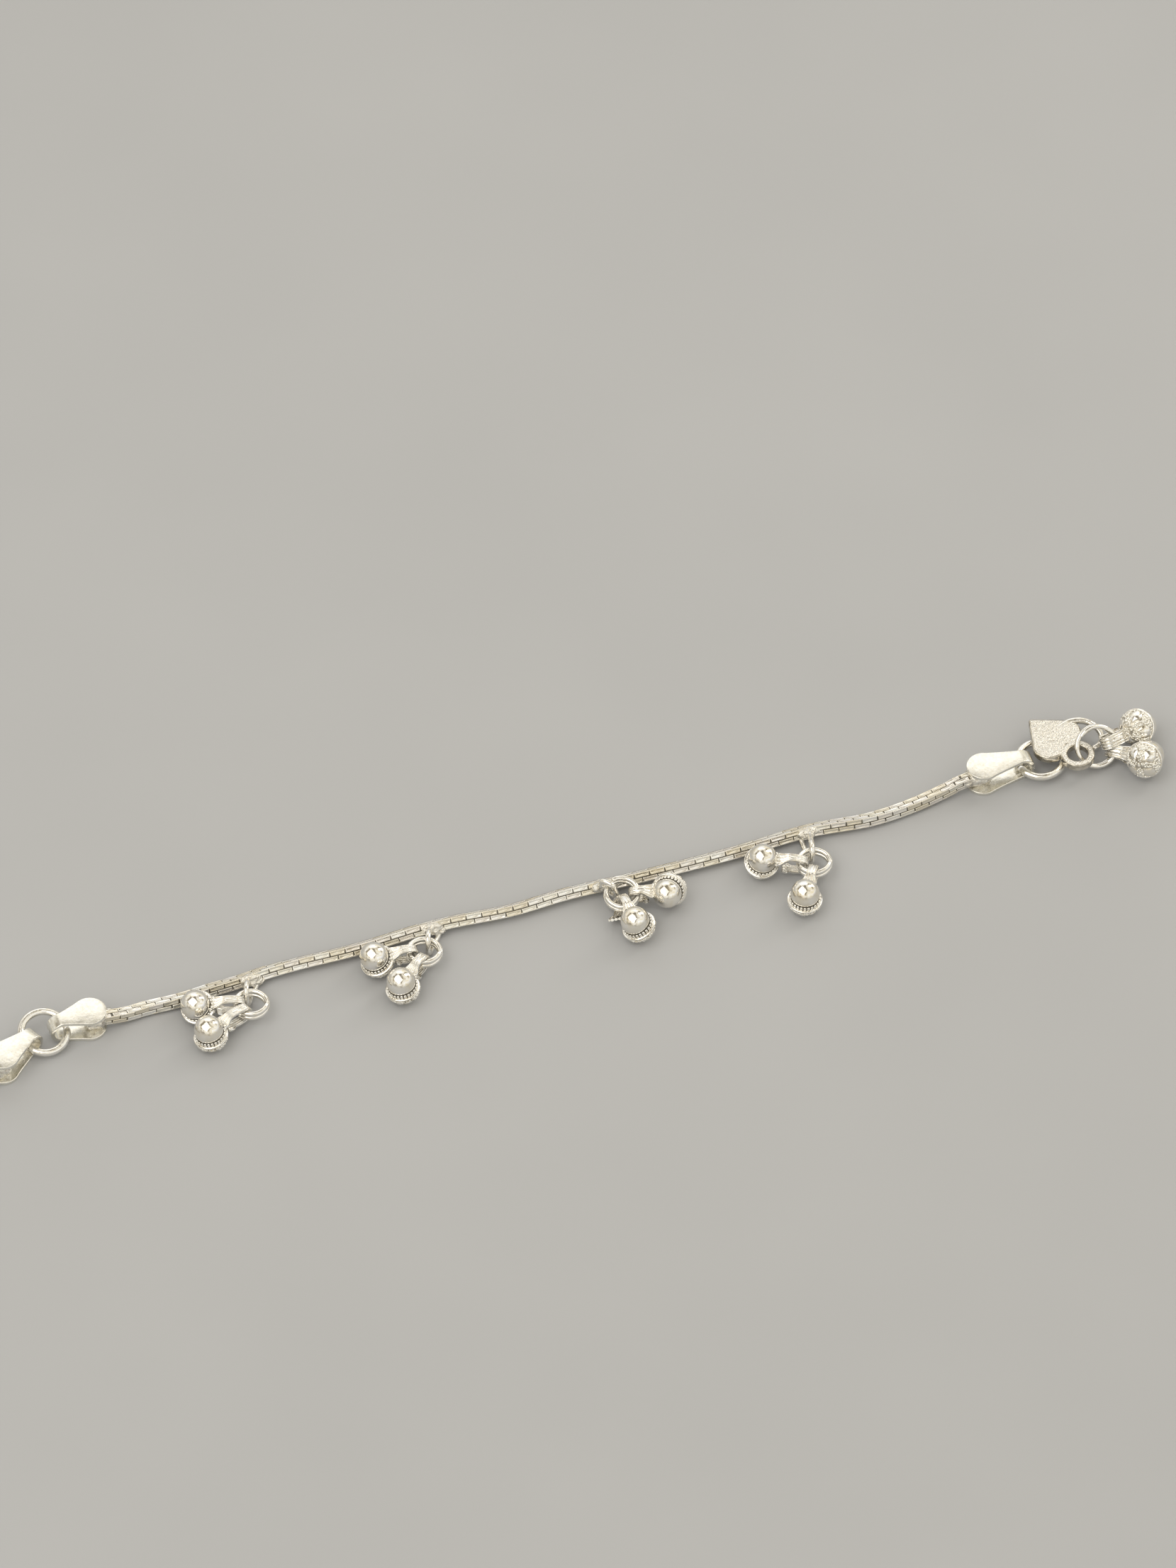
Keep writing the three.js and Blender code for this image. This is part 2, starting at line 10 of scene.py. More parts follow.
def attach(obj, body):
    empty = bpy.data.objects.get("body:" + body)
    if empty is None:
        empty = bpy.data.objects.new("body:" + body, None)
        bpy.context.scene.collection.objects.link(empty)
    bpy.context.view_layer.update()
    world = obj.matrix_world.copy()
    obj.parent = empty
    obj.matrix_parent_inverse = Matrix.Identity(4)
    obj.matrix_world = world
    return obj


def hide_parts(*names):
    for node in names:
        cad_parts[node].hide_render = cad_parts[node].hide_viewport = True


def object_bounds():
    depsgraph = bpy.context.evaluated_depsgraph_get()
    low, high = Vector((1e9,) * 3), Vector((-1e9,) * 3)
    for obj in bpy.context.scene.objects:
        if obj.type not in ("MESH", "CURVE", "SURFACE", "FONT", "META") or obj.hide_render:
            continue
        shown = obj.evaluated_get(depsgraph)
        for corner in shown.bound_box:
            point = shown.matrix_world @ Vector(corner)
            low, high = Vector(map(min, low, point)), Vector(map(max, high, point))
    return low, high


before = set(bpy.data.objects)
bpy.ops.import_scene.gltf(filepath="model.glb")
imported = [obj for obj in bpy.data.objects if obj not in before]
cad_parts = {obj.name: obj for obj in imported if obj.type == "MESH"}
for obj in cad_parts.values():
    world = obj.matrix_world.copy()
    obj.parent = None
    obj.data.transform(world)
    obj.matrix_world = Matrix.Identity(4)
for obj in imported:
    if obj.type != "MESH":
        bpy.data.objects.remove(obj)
cad_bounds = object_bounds()

MM = 0.001
CREASE = 40
TINY = 1e-9
SHIFT = Vector((49.520, 5.497, 0.0))
UP = Vector((0, 0, 1))
NOISE_SEED = 5

# Unseeded, noise_vector takes its offsets from the clock, and the grains on the bells differ in every run
noise.seed_set(NOISE_SEED)

# Square chain of staggered bricks
CHAIN_WIDTH = 1.6
BRICK_PITCH = 2.25
BRICK_GAP = 0.12
BRICK_HEIGHT = 0.24
BRICK_DISH = 0.05
BLOCK_BEVEL = 0.11
CORE_HALF = 0.7
CORE_STEP = 1.1

# Jump rings
LINK_WIRE = 1.1
LINK_RADIUS = 3.2
LINK_CUT = 1.6

# Folded end caps
CAP_SHEET = 0.55
CAP_HEIGHT = 3.86
CAP_LEAF_RADIUS = 2.4
CAP_NECK_WIDTH = 2.2
CAP_SHOULDER = 115
CAP_EDGE_ROUND = 0.13

# Double-turn rings, the coil through the clasp, and the bails
CLUSTER = {"radius": 2.25, "wire": 0.72, "pitch": 0.76, "turns": 2.0}
COIL_FORM = {"radius": 2.85, "wire": 0.72, "pitch": 0.76, "turns": 1.75}
BAIL_WIRE = 0.8

# Bells
DOME_RADIUS = 2.05
DOME_CENTRE = 0.62
BELT_RADIUS = 2.24
BELT_TOP = 0.15
GROOVE_RADIUS = 2.0
RIM_RADIUS = 2.5
RIM_TOP = -0.6
RIM_HEIGHT = 0.3
BOWL_RADIUS = 2.4
BOWL_DEPTH = 1.85
BOWL_INSET = 0.12
BELT_TEETH = 26
TOOTH_SIZE = (0.37, 0.5, 0.28)
BALL_SIDES = 64
PETALS = 4
PETAL_LOW = 20
PETAL_HIGH = 79
PETAL_HALF_WIDTH = 27
GRAINS = 380
GRAIN_SIZE = 0.185
GRAIN_HIGHEST = 81
COLLAR_GRAINS = 11
SHANK_THICKNESS = 0.45
SHANK_FOLD_RADIUS = 1.18
SHANK_FOOT_HEIGHT = 0.5
SHANK_FOOT_WIDTH = 2.2
SHANK_WIDTH = 1.2
SHANK_TAPER_START = 2.3
SHANK_TAPER_END = 3.7
SHANK_FREE_END = 2.95
SHANK_SLACK = 0.05
SHANK_FOLD_DRIFT = 0.4
BELL_HEIGHT = 2.85
END_BELL_SIZE = 1.08
SHANK_WIDENING = 1.12
END_SHANK_WIDENING = 1.5

# Clasp
HEART_THICKNESS = 1.2
HEART_BOTTOM = 1.95
HEART_LOBE_RADIUS = 2.3
HEART_LOBE_OFFSET = 1.7
HEART_TIP = 4.9
HEART_TIP_ROUND = 0.35
HEART_RINGS = 46
EYE_OFFSET = 3.9
EYE_RADIUS = 2.4
EYE_HOLE_RADIUS = 1.45
STAPLE_WIRE = 0.5
STAPLE_ANGLE = 48
TONGUE_STEPS = 80
TONGUE_WIRE = 1.12

# Camera: metres from the point it looks at, which is in the maker's layout, and the frame's height there
CAMERA_DISTANCE = 3.0
CAMERA_TARGET = Vector((6.31, 17.71, 0))
FRAME_HEIGHT = 221.2

# Routes and places as in the solids: x, y, z, then the roll of the section
FRONT_ROUTE = [
    (-74.6, -1.1, 1.93, 0), (-71.6, -1.3, 1.85, 0), (-69.0, -1.2, 1.35, -5), (-65.8, -0.9, 1.0, -10),
    (-60.9, -1.1, 1.02, -20), (-56.5, -0.9, 1.07, -25), (-52.2, -0.8, 1.1, -28),
    (-47.9, -0.5, 1.12, -33), (-43.5, -0.5, 1.14, -40), (-34.5, -0.8, 1.14, -40),
    (-24.5, -0.45, 1.14, -40), (-20.3, -0.6, 1.14, -40), (-11.9, -1.35, 1.14, -40),
    (-3.6, -1.15, 1.14, -40), (6.9, -1.65, 1.14, -40), (20.6, -1.95, 1.14, -38),
    (32.3, -1.7, 1.12, -30), (41.4, -2.6, 1.08, -22), (47.5, -2.2, 1.05, -12),
    (52.5, -1.45, 1.3, -8), (55.6, -1.1, 1.85, 0), (58.8, -0.95, 1.93, 0),
]
BACK_ROUTE = [
    (-171.8, -12.0, 1.93, 0), (-168.6, -12.1, 1.85, 0), (-165.5, -12.2, 1.25, 0),
    (-161.0, -12.5, 0.9, 0), (-148.0, -13.0, 0.87, 0), (-134.0, -13.1, 0.87, 0),
    (-120.0, -12.5, 0.87, 0), (-107.0, -10.9, 0.87, 0), (-98.5, -8.8, 0.9, 0),
    (-94.3, -7.2, 1.25, 0), (-91.4, -5.9, 1.85, 0), (-88.6, -4.55, 1.93, 0),
]
LINKS = {
    "ring_clasp": {"at": (67.6, -0.5, 1.33), "tilt": 0, "cut": 187},
    "ring_middle": {"at": (-80.9, -0.8, 1.75), "tilt": 14, "cut": 357},
    "ring_end": {"at": (-180.3, -12.0, 1.33), "tilt": 0, "cut": 0},
}
# Caps: ring, angle round it, heading of the leaves, play beyond the ring's radius, length of the leaves
CAPS = {
    "right": ("ring_clasp", 187, 179, 0.05, 7.9),
    "left": ("ring_middle", -3, 1, -0.6, 6.5),
    "inner": ("ring_middle", 206, 206, -0.1, 7.4),
    "outer": ("ring_end", 0, 0, 0.04, 7.4),
}
# Ring with its bail's root and angle, and bells: x, y, angle round the ring, lean, tip, splay, reach
CLUSTERS = [
    {"at": (-52.0, -5.9, 1.9), "tilt": 0, "start": 330, "bail": (-50.5, -0.75, 84, 1),
     "bells": {"a": (-59.6, -4.3, 164, 21, 28, 0, 0), "b": (-59.4, -9.45, 214.5, -9, 17, 0, 0)}},
    {"at": (-26.1, -5.1, 1.9), "tilt": 0, "start": 330, "bail": (-23.3, -0.5, 52, 1),
     "bells": {"a": (-33.2, -4.6, 170, 4, 33, 0, 0), "b": (-31.3, -10.3, 238, -11, 13, 0, 0.05)}},
    {"at": (3.4, -4.7, 2.3), "tilt": 10, "start": 110, "bail": (0.6, -1.4, 130, 1), "solder": (1.9, 2.5),
     "bells": {"a": (9.5, -6.9, -20, -62, -12, 0, 0), "b": (3.4, -10.8, 266, -22, 6, 2, 1)}},
    {"at": (30.9, -8.1, 1.9), "tilt": 0, "start": 330, "bail": (32.1, -1.75, 84, -1),
     "bells": {"a": (23.9, -5.9, 168, 16, 4, 0, 0), "b": (27.3, -14.1, 244, 2, 10, 0, 0)}},
]
COIL = {"at": (75.45, -2.05, 2.87), "tilt": 48, "start": 225}
END_BELLS = {"a": (82.4, -0.7, 8, 153, 50, 0, 0.9), "b": (81.4, -6.4, -30, 116, -5, 0.4, 0)}
HEART = (70.6, 0.9, 118)
TONGUE_ROUTE = [
    (71.4, 2.9, 2.6), (73.4, 3.5, 2.75), (75.2, 3.1, 2.75), (76.6, 2.0, 2.4), (77.2, 0.7, 1.6),
    (76.6, -0.3, 0.9), (75.4, -0.6, 0.65),
]


# Materials: everything is read in Object coordinates, brought to millimetres

def material(name, colour, metallic=1.0, roughness=0.2):
    mat = bpy.data.materials.new(name)
    mat.use_nodes = True
    shader = mat.node_tree.nodes["Principled BSDF"]
    shader.inputs["Base Color"].default_value = (*colour, 1)
    shader.inputs["Metallic"].default_value = metallic
    shader.inputs["Roughness"].default_value = roughness
    return mat, shader


def node(mat, kind, links=(), **settings):
    made = mat.node_tree.nodes.new(kind)
    for key, value in settings.items():
        if hasattr(made, key):
            setattr(made, key, value)
        else:
            made.inputs[key.replace("_", " ")].default_value = value
    for socket, source in links:
        mat.node_tree.links.new(source, made.inputs[socket])
    return made


def millimetres(mat, stretch=(1, 1, 1)):
    place = node(mat, "ShaderNodeTexCoord")
    scale = tuple(s / MM for s in stretch)
    return node(mat, "ShaderNodeMapping", [("Vector", place.outputs["Object"])], Scale=scale).outputs[0]


def grain(mat, vector, per_mm, detail=3.0, rough=0.55):
    return node(mat, "ShaderNodeTexNoise", [("Vector", vector)],
                Scale=per_mm, Detail=detail, Roughness=rough).outputs["Fac"]


def spread(mat, value, low, high, start=0.3, end=0.7):
    """Maps a noise value from start..end to low..high."""
    made = node(mat, "ShaderNodeMapRange", [("Value", value)])
    for socket, number in (("From Min", start), ("From Max", end), ("To Min", low), ("To Max", high)):
        made.inputs[socket].default_value = number
    return made.outputs[0]


def tint(mat, factor, colours):
    """Colour ramp with evenly spaced stops."""
    ramp = node(mat, "ShaderNodeValToRGB", [("Fac", factor)])
    stops = ramp.color_ramp.elements
    while len(stops) < len(colours):
        stops.new(0.5)
    for i, colour in enumerate(colours):
        stops[i].position = 0.25 + 0.5 * i / (len(colours) - 1)
        stops[i].color = (*colour, 1)
    return ramp.outputs["Color"]


def feed(mat, shader, socket, source):
    mat.node_tree.links.new(source, shader.inputs[socket])


def relief(mat, shader, heights):
    """Stacks bumps: (height source, strength, depth in mm)."""
    normal = None
    for height, strength, depth in heights:
        links = [("Height", height)] + ([("Normal", normal)] if normal else [])
        normal = node(mat, "ShaderNodeBump", links, Strength=strength, Distance=depth * MM).outputs[0]
    feed(mat, shader, "Normal", normal)


def surface(mat, shader, rough, colour, heights):
    """Roughness from (noise, low, high), colour from (noise, colours) and bumps, as relief takes them."""
    feed(mat, shader, "Roughness", spread(mat, *rough))
    feed(mat, shader, "Base Color", tint(mat, *colour))
    relief(mat, shader, heights)
    return mat


def wire_silver():
    mat, shader = material("wire_silver", (0.93, 0.9, 0.84), roughness=0.12)
    place = millimetres(mat)
    dull = grain(mat, place, 1.3)
    return surface(mat, shader, (dull, 0.06, 0.22),
                   (dull, [(0.86, 0.81, 0.72), (0.94, 0.92, 0.87), (0.97, 0.96, 0.94)]),
                   [(grain(mat, place, 0.9, 2), 0.5, 0.12), (grain(mat, place, 7), 0.35, 0.02)])


def dome_silver():
    mat, shader = material("dome_silver", (0.95, 0.92, 0.85), roughness=0.07)
    place = millimetres(mat)
    soft = grain(mat, place, 0.55, 2)
    return surface(mat, shader, (grain(mat, place, 2.4), 0.06, 0.16),
                   (soft, [(0.88, 0.81, 0.67), (0.94, 0.91, 0.84), (0.97, 0.96, 0.95)]),
                   [(soft, 0.3, 0.2), (grain(mat, place, 2.2, 2), 0.12, 0.03)])


def brick_silver():
    mat, shader = material("brick_silver", (0.92, 0.9, 0.84), roughness=0.2)
    place = millimetres(mat)
    shade = node(mat, "ShaderNodeAttribute", attribute_name="shade").outputs["Fac"]
    return surface(mat, shader, (grain(mat, place, 2.6), 0.1, 0.28),
                   (shade, [(0.86, 0.8, 0.67), (0.94, 0.91, 0.82), (0.98, 0.97, 0.93), (0.92, 0.88, 0.82)]),
                   [(grain(mat, place, 1.1, 1), 0.3, 0.08), (grain(mat, place, 5, 2), 0.15, 0.02)])


def solder_silver():
    mat, shader = material("solder_silver", (0.86, 0.83, 0.77), roughness=0.3)
    place = millimetres(mat)
    lumps = grain(mat, place, 2.0, 4)
    return surface(mat, shader, (lumps, 0.16, 0.42),
                   (lumps, [(0.6, 0.55, 0.47), (0.86, 0.83, 0.76), (0.93, 0.92, 0.89)]),
                   [(lumps, 0.8, 0.25), (grain(mat, place, 9), 0.5, 0.04)])


def cap_silver():
    mat, shader = material("cap_silver", (0.93, 0.91, 0.86), roughness=0.16)
    place = millimetres(mat)
    cloudy = grain(mat, place, 0.8)
    brushed = grain(mat, millimetres(mat, (0.4, 7, 4)), 1.4, 2)
    dents = grain(mat, place, 2.3, 2)
    return surface(mat, shader, (cloudy, 0.17, 0.3),
                   (dents, [(0.84, 0.81, 0.72), (0.91, 0.89, 0.82), (0.94, 0.93, 0.89)]),
                   [(cloudy, 0.28, 0.14), (dents, 0.1, 0.02), (brushed, 0.12, 0.01)])


def cast_silver():
    mat, shader = material("cast_silver", (0.9, 0.88, 0.83), roughness=0.3)
    place = millimetres(mat)
    pits = node(mat, "ShaderNodeTexVoronoi", [("Vector", place)],
                Scale=4.4, feature="SMOOTH_F1").outputs["Distance"]
    sand = grain(mat, place, 5.5, 3, 0.6)
    return surface(mat, shader, (sand, 0.12, 0.3),
                   (sand, [(0.5, 0.46, 0.38), (0.93, 0.9, 0.83), (0.98, 0.97, 0.94)]),
                   [(pits, 0.7, 0.14), (sand, 0.7, 0.12)])


# Painted shade: darker silver for the clasp's walls and the bells' bowls, standing in for the shade on them
# and the dark they would mirror
def painted_shade_silver():
    mat, shader = material("painted_shade_silver", (0.6, 0.57, 0.5), roughness=0.2)
    place = millimetres(mat)
    cloudy = grain(mat, place, 1.2)
    return surface(mat, shader, (cloudy, 0.08, 0.24),
                   (cloudy, [(0.3, 0.27, 0.22), (0.6, 0.56, 0.48), (0.85, 0.82, 0.75)]),
                   [(cloudy, 0.5, 0.15)])


def granule_silver():
    mat, shader = material("granule_silver", (0.93, 0.91, 0.86), roughness=0.18)
    place = millimetres(mat)
    speck = grain(mat, place, 3.1)
    return surface(mat, shader, (speck, 0.1, 0.34),
                   (speck, [(0.78, 0.74, 0.66), (0.93, 0.91, 0.85), (0.98, 0.97, 0.95)]),
                   [(grain(mat, place, 6), 0.5, 0.05)])


# Painted shadow: near-black metal for the chain's core between the bricks and the groove behind each bell's
# teeth, mottled by noise
def shadow_metal():
    mat, shader = material("shadow_metal", (0.16, 0.15, 0.13), roughness=0.45)
    place = millimetres(mat)
    shadow_mottle = grain(mat, place, 3.0)
    return surface(mat, shader, (shadow_mottle, 0.3, 0.6),
                   (shadow_mottle, [(0.05, 0.047, 0.04), (0.17, 0.16, 0.14), (0.36, 0.34, 0.3)]),
                   [(shadow_mottle, 0.6, 0.08)])


def paper_floor():
    mat, shader = material("pale_floor", (0.47, 0.475, 0.48), metallic=0.0, roughness=0.75)
    place = millimetres(mat)
    cloudy = grain(mat, place, 0.02, 2)
    feed(mat, shader, "Base Color", tint(mat, cloudy, [(0.46, 0.465, 0.475), (0.48, 0.485, 0.495)]))
    return mat


# Geometry helpers: a shape is a list of points and a list of faces

def heading(degrees):
    return Vector((math.cos(math.radians(degrees)), math.sin(math.radians(degrees)), 0))


def frame_of(x_axis, y_axis, z_axis, origin=(0, 0, 0)):
    turn = Matrix((x_axis, y_axis, z_axis)).transposed().to_4x4()
    return Matrix.Translation(origin) @ turn


def moved(shape, matrix):
    points, faces = shape
    return [matrix @ p for p in points], faces


def joined(shapes):
    points, faces = [], []
    for more_points, more_faces in shapes:
        start = len(points)
        points += more_points
        faces += [tuple(i + start for i in face) for face in more_faces]
    return points, faces


def sweep(stations, closed=False):
    """Skin through stations of (centre, side, up, outline), its ends filled unless closed."""
    sides = len(stations[0][3])
    points = [c + s * a + u * b for c, s, u, outline in stations for a, b in outline]
    faces = []
    spans = len(stations) if closed else len(stations) - 1
    for i in range(spans):
        here, there = i * sides, (i + 1) % len(stations) * sides
        for k in range(sides):
            m = (k + 1) % sides
            faces.append((here + k, here + m, there + m, there + k))
    if not closed:
        faces.append(tuple(range(sides))[::-1])
        faces.append(tuple(range(len(points) - sides, len(points))))
    return points, faces


def round_outline(diameter, sides):
    angles = [2 * math.pi * (k + 0.5) / sides for k in range(sides)]
    return [(diameter / 2 * math.cos(a), diameter / 2 * math.sin(a)) for a in angles]


def wire(points, diameters, first_side=UP, sides=12):
    """Round wire along points, its section carried along without twisting."""
    if not isinstance(diameters, (list, tuple)):
        diameters = [diameters] * len(points)
    count = len(points)
    side = first_side.copy()
    stations = []
    for i, centre in enumerate(points):
        along = (points[min(i + 1, count - 1)] - points[max(i - 1, 0)]).normalized()
        side = (side - along * side.dot(along)).normalized()
        stations.append((centre, side, along.cross(side), round_outline(diameters[i], sides)))
    return sweep(stations)


class Route:
    """Centripetal Catmull-Rom curve through points, as the solids use."""

    def __init__(self, points):
        self.points = [Vector(p) for p in points]
        steps = 40 * len(points)
        self.shares = [i / steps for i in range(steps + 1)]
        marks = [self.at(t) for t in self.shares]
        self.lengths = [0.0]
        for a, b in zip(marks, marks[1:]):
            self.lengths.append(self.lengths[-1] + (b - a).length)
        self.length = self.lengths[-1]

    def at(self, share):
        p = self.points
        where = share * (len(p) - 1)
        i = min(int(where), len(p) - 2)
        weight = where - i
        p1, p2 = p[i], p[i + 1]
        p0 = p[i - 1] if i > 0 else p1 * 2 - p2
        p3 = p[i + 2] if i + 2 < len(p) else p2 * 2 - p1
        d0, d1, d2 = (max((b - a).length ** 0.5, 1e-4) for a, b in ((p0, p1), (p1, p2), (p2, p3)))
        t1 = ((p1 - p0) / d0 - (p2 - p0) / (d0 + d1) + (p2 - p1) / d1) * d1
        t2 = ((p2 - p1) / d1 - (p3 - p1) / (d1 + d2) + (p3 - p2) / d2) * d1
        w2, w3 = weight ** 2, weight ** 3
        return (p1 * (2 * w3 - 3 * w2 + 1) + t1 * (w3 - 2 * w2 + weight)
                + p2 * (3 * w2 - 2 * w3) + t2 * (w3 - w2))

    def share_at(self, distance):
        distance = min(max(distance, 0.0), self.length)
        low, high = 0, len(self.lengths) - 1
        while high - low > 1:
            mid = (low + high) // 2
            low, high = (mid, high) if self.lengths[mid] <= distance else (low, mid)
        part = (distance - self.lengths[low]) / max(self.lengths[high] - self.lengths[low], TINY)
        return self.shares[low] + part * (self.shares[high] - self.shares[low])

    def along(self, distance):
        share = self.share_at(distance)
        step = 0.0005
        tangent = self.at(min(share + step, 1)) - self.at(max(share - step, 0))
        return self.at(share), tangent.normalized()

    def smooth(self, count):
        return [self.at(i / count) for i in range(count + 1)]


def lumpy(radii, centre, seed, rough=0.12, rings=22, sides=32):
    """Rounded lump of solder with an uneven skin."""
    points, faces = [], []
    for i in range(1, rings):
        lat = math.pi * i / rings
        for k in range(sides):
            lon = 2 * math.pi * k / sides
            points.append(heading(math.degrees(lon)) * math.sin(lat) + UP * math.cos(lat))
    points = [Vector((0, 0, 1)), *points, Vector((0, 0, -1))]
    last = len(points) - 1
    for k in range(sides):
        m = (k + 1) % sides
        faces.append((0, 1 + k, 1 + m))
        faces.append((last, last - sides + m, last - sides + k))
        for i in range(rings - 2):
            a, b = 1 + i * sides, 1 + (i + 1) * sides
            faces.append((a + k, b + k, b + m, a + m))
    shift = Vector((seed * 7.3, seed * 3.1, seed * 5.7))
    points = [p * (1 + rough * noise.fractal(p * 1.6 + shift, 0.8, 2.0, 4)) for p in points]
    radii, centre = Vector(radii), Vector(centre)
    return [p * radii + centre for p in points], faces


def closed_skin(rings, bottom, top):
    """Skin over rings of points, closed by a point at either end."""
    sides = len(rings[0])
    points = [p for ring in rings for p in ring]
    faces = []
    for j in range(len(rings) - 1):
        for k in range(sides):
            m = (k + 1) % sides
            faces.append((j * sides + k, j * sides + m, (j + 1) * sides + m, (j + 1) * sides + k))
    low, end = len(points), len(points) - sides
    for k in range(sides):
        m = (k + 1) % sides
        faces += [(low, m, k), (low + 1, end + k, end + m)]
    return points + [bottom, top], faces


def revolved(profile, sides):
    """Lathed skin about Z; the profile runs from the axis at the bottom to the axis at the top."""
    angles = [2 * math.pi * k / sides for k in range(sides)]
    rings = [[Vector((r * math.cos(a), r * math.sin(a), z)) for a in angles] for r, z in profile[1:-1]]
    return closed_skin(rings, Vector((0, 0, profile[0][1])), Vector((0, 0, profile[-1][1])))


def mesh_of(name, shape, mat):
    points, faces = shape
    mesh = bpy.data.meshes.new(name)
    mesh.from_pydata([(p + SHIFT) * MM for p in points], [], faces)
    mesh.materials.append(mat)
    mesh.shade_smooth()
    mesh.set_sharp_from_angle(angle=math.radians(CREASE))
    return mesh


def held_inside(mesh):
    """Holds a mesh to the solid model's box, which round metal passes by some hundredths of a millimetre."""
    low, high = cad_bounds
    for vertex in mesh.vertices:
        vertex.co = [min(max(value, a), b) for value, a, b in zip(vertex.co, low, high)]


def piece(name, layers, slot, *nodes):
    """One object from layers of (shape, material), riding with the anklet in place of CAD nodes."""
    made = []
    for i, (shape, mat) in enumerate(layers):
        mesh = shape if isinstance(shape, bpy.types.Mesh) else mesh_of(f"{name}_{i}", shape, mat)
        layer = bpy.data.objects.new(f"{name}_{i}", mesh)
        bpy.context.scene.collection.objects.link(layer)
        made.append(layer)
    bpy.ops.object.select_all(action="DESELECT")
    for layer in made:
        layer.select_set(True)
    bpy.context.view_layer.objects.active = made[0]
    if len(made) > 1:
        bpy.ops.object.join()
    whole = made[0]
    whole.name = name
    whole.data.name = name
    held_inside(whole.data)
    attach(whole, "root")
    if nodes:
        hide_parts(*nodes)
    return whole


# Repeats: points with a turn and a size each carry a copy of one small mesh

def repeat_tree():
    """Geometry nodes: a copy on every point, turned and sized by its attributes, then made real."""
    tree = bpy.data.node_groups.new("repeat_on_points", "GeometryNodeTree")
    for name, way, kind in (
            ("Geometry", "INPUT", "Geometry"), ("Copy", "INPUT", "Object"), ("Seed", "INPUT", "Int"),
            ("Finish", "INPUT", "Material"), ("Geometry", "OUTPUT", "Geometry")):
        tree.interface.new_socket(name, in_out=way, socket_type=f"NodeSocket{kind}")

    def add(kind, name=None, **settings):
        made = tree.nodes.new(kind)
        for key, value in settings.items():
            setattr(made, key, value)
        if name:
            made.inputs["Name"].default_value = name
        return made

    given = add("NodeGroupInput")
    result = add("NodeGroupOutput")
    source = add("GeometryNodeObjectInfo", transform_space="ORIGINAL")
    turn = add("GeometryNodeInputNamedAttribute", "turn", data_type="FLOAT_VECTOR")
    size = add("GeometryNodeInputNamedAttribute", "size", data_type="FLOAT_VECTOR")
    euler = add("FunctionNodeEulerToRotation")
    copies = add("GeometryNodeInstanceOnPoints")
    random = add("FunctionNodeRandomValue", data_type="FLOAT")
    store = add("GeometryNodeStoreNamedAttribute", "shade", data_type="FLOAT", domain="INSTANCE")
    real = add("GeometryNodeRealizeInstances")
    finish = add("GeometryNodeSetMaterial")
    for giver, output, taker, socket in (
            (given, "Copy", source, "Object"), (turn, "Attribute", euler, "Euler"),
            (given, "Geometry", copies, "Points"), (source, "Geometry", copies, "Instance"),
            (euler, "Rotation", copies, "Rotation"), (size, "Attribute", copies, "Scale"),
            (given, "Seed", random, "Seed"), (copies, "Instances", store, "Geometry"),
            (random, 1, store, "Value"), (store, "Geometry", real, "Geometry"),
            (real, "Geometry", finish, "Geometry"), (given, "Finish", finish, "Material"),
            (finish, "Geometry", result, "Geometry")):
        tree.links.new(giver.outputs[output], taker.inputs[socket])
    return tree


REPEAT = repeat_tree()


def repeated(name, copy_mesh, places, mat, seed):
    """Mesh of copies at places of (point, rotation matrix, size), in working millimetres."""
    spots = bpy.data.meshes.new(f"{name}_spots")
    spots.from_pydata([p for p, _, _ in places], [], [])
    turns = spots.attributes.new("turn", "FLOAT_VECTOR", "POINT")
    sizes = spots.attributes.new("size", "FLOAT_VECTOR", "POINT")
    for i, (_, rotation, size) in enumerate(places):
        turns.data[i].vector = rotation.to_euler("XYZ")
        sizes.data[i].vector = size
    holder = bpy.data.objects.new(f"{name}_spots", spots)
    copy = bpy.data.objects.new(f"{name}_copy", copy_mesh)
    for made in (holder, copy):
        bpy.context.scene.collection.objects.link(made)
    nodes = holder.modifiers.new("repeat", "NODES")
    nodes.node_group = REPEAT
    keys = {s.name: s.identifier for s in REPEAT.interface.items_tree if s.in_out == "INPUT"}
    nodes[keys["Copy"]] = copy
    nodes[keys["Seed"]] = seed
    nodes[keys["Finish"]] = mat
    ready = holder.evaluated_get(bpy.context.evaluated_depsgraph_get())
    mesh = bpy.data.meshes.new_from_object(ready)
    holder.modifiers.clear()
    for made in (holder, copy):
        bpy.data.objects.remove(made)
    return mesh


def placed(mesh, matrix=Matrix()):
    """Copy of a mesh in working millimetres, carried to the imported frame."""
    made = mesh.copy()
    made.transform(Matrix.Scale(MM, 4) @ Matrix.Translation(SHIFT) @ matrix)
    return made


def block(size, dish=0.0):
    """Small rounded block for copies, its top dished inside a raised border."""
    shape = bmesh.new()
    bmesh.ops.create_cube(shape, size=1)
    bmesh.ops.scale(shape, vec=size, verts=shape.verts)
    bmesh.ops.bevel(shape, geom=shape.edges[:], offset=BLOCK_BEVEL, segments=3, profile=0.6, affect="EDGES")
    if dish:
        top = max(shape.faces, key=lambda face: face.calc_center_median().z)
        bmesh.ops.inset_region(shape, faces=[top], thickness=0.02, depth=0)
        bmesh.ops.inset_region(shape, faces=[top], thickness=0.09, depth=-dish)
    mesh = bpy.data.meshes.new("block")
    shape.to_mesh(mesh)
    shape.free()
    mesh.shade_smooth()
    return mesh


def grain_ball():
    shape = bmesh.new()
    bmesh.ops.create_icosphere(shape, subdivisions=2, radius=1)
    mesh = bpy.data.meshes.new("grain_ball")
    shape.to_mesh(mesh)
    shape.free()
    mesh.shade_smooth()
    return mesh


# Chain: dark core with eight rows of bricks, every other row half a pitch on

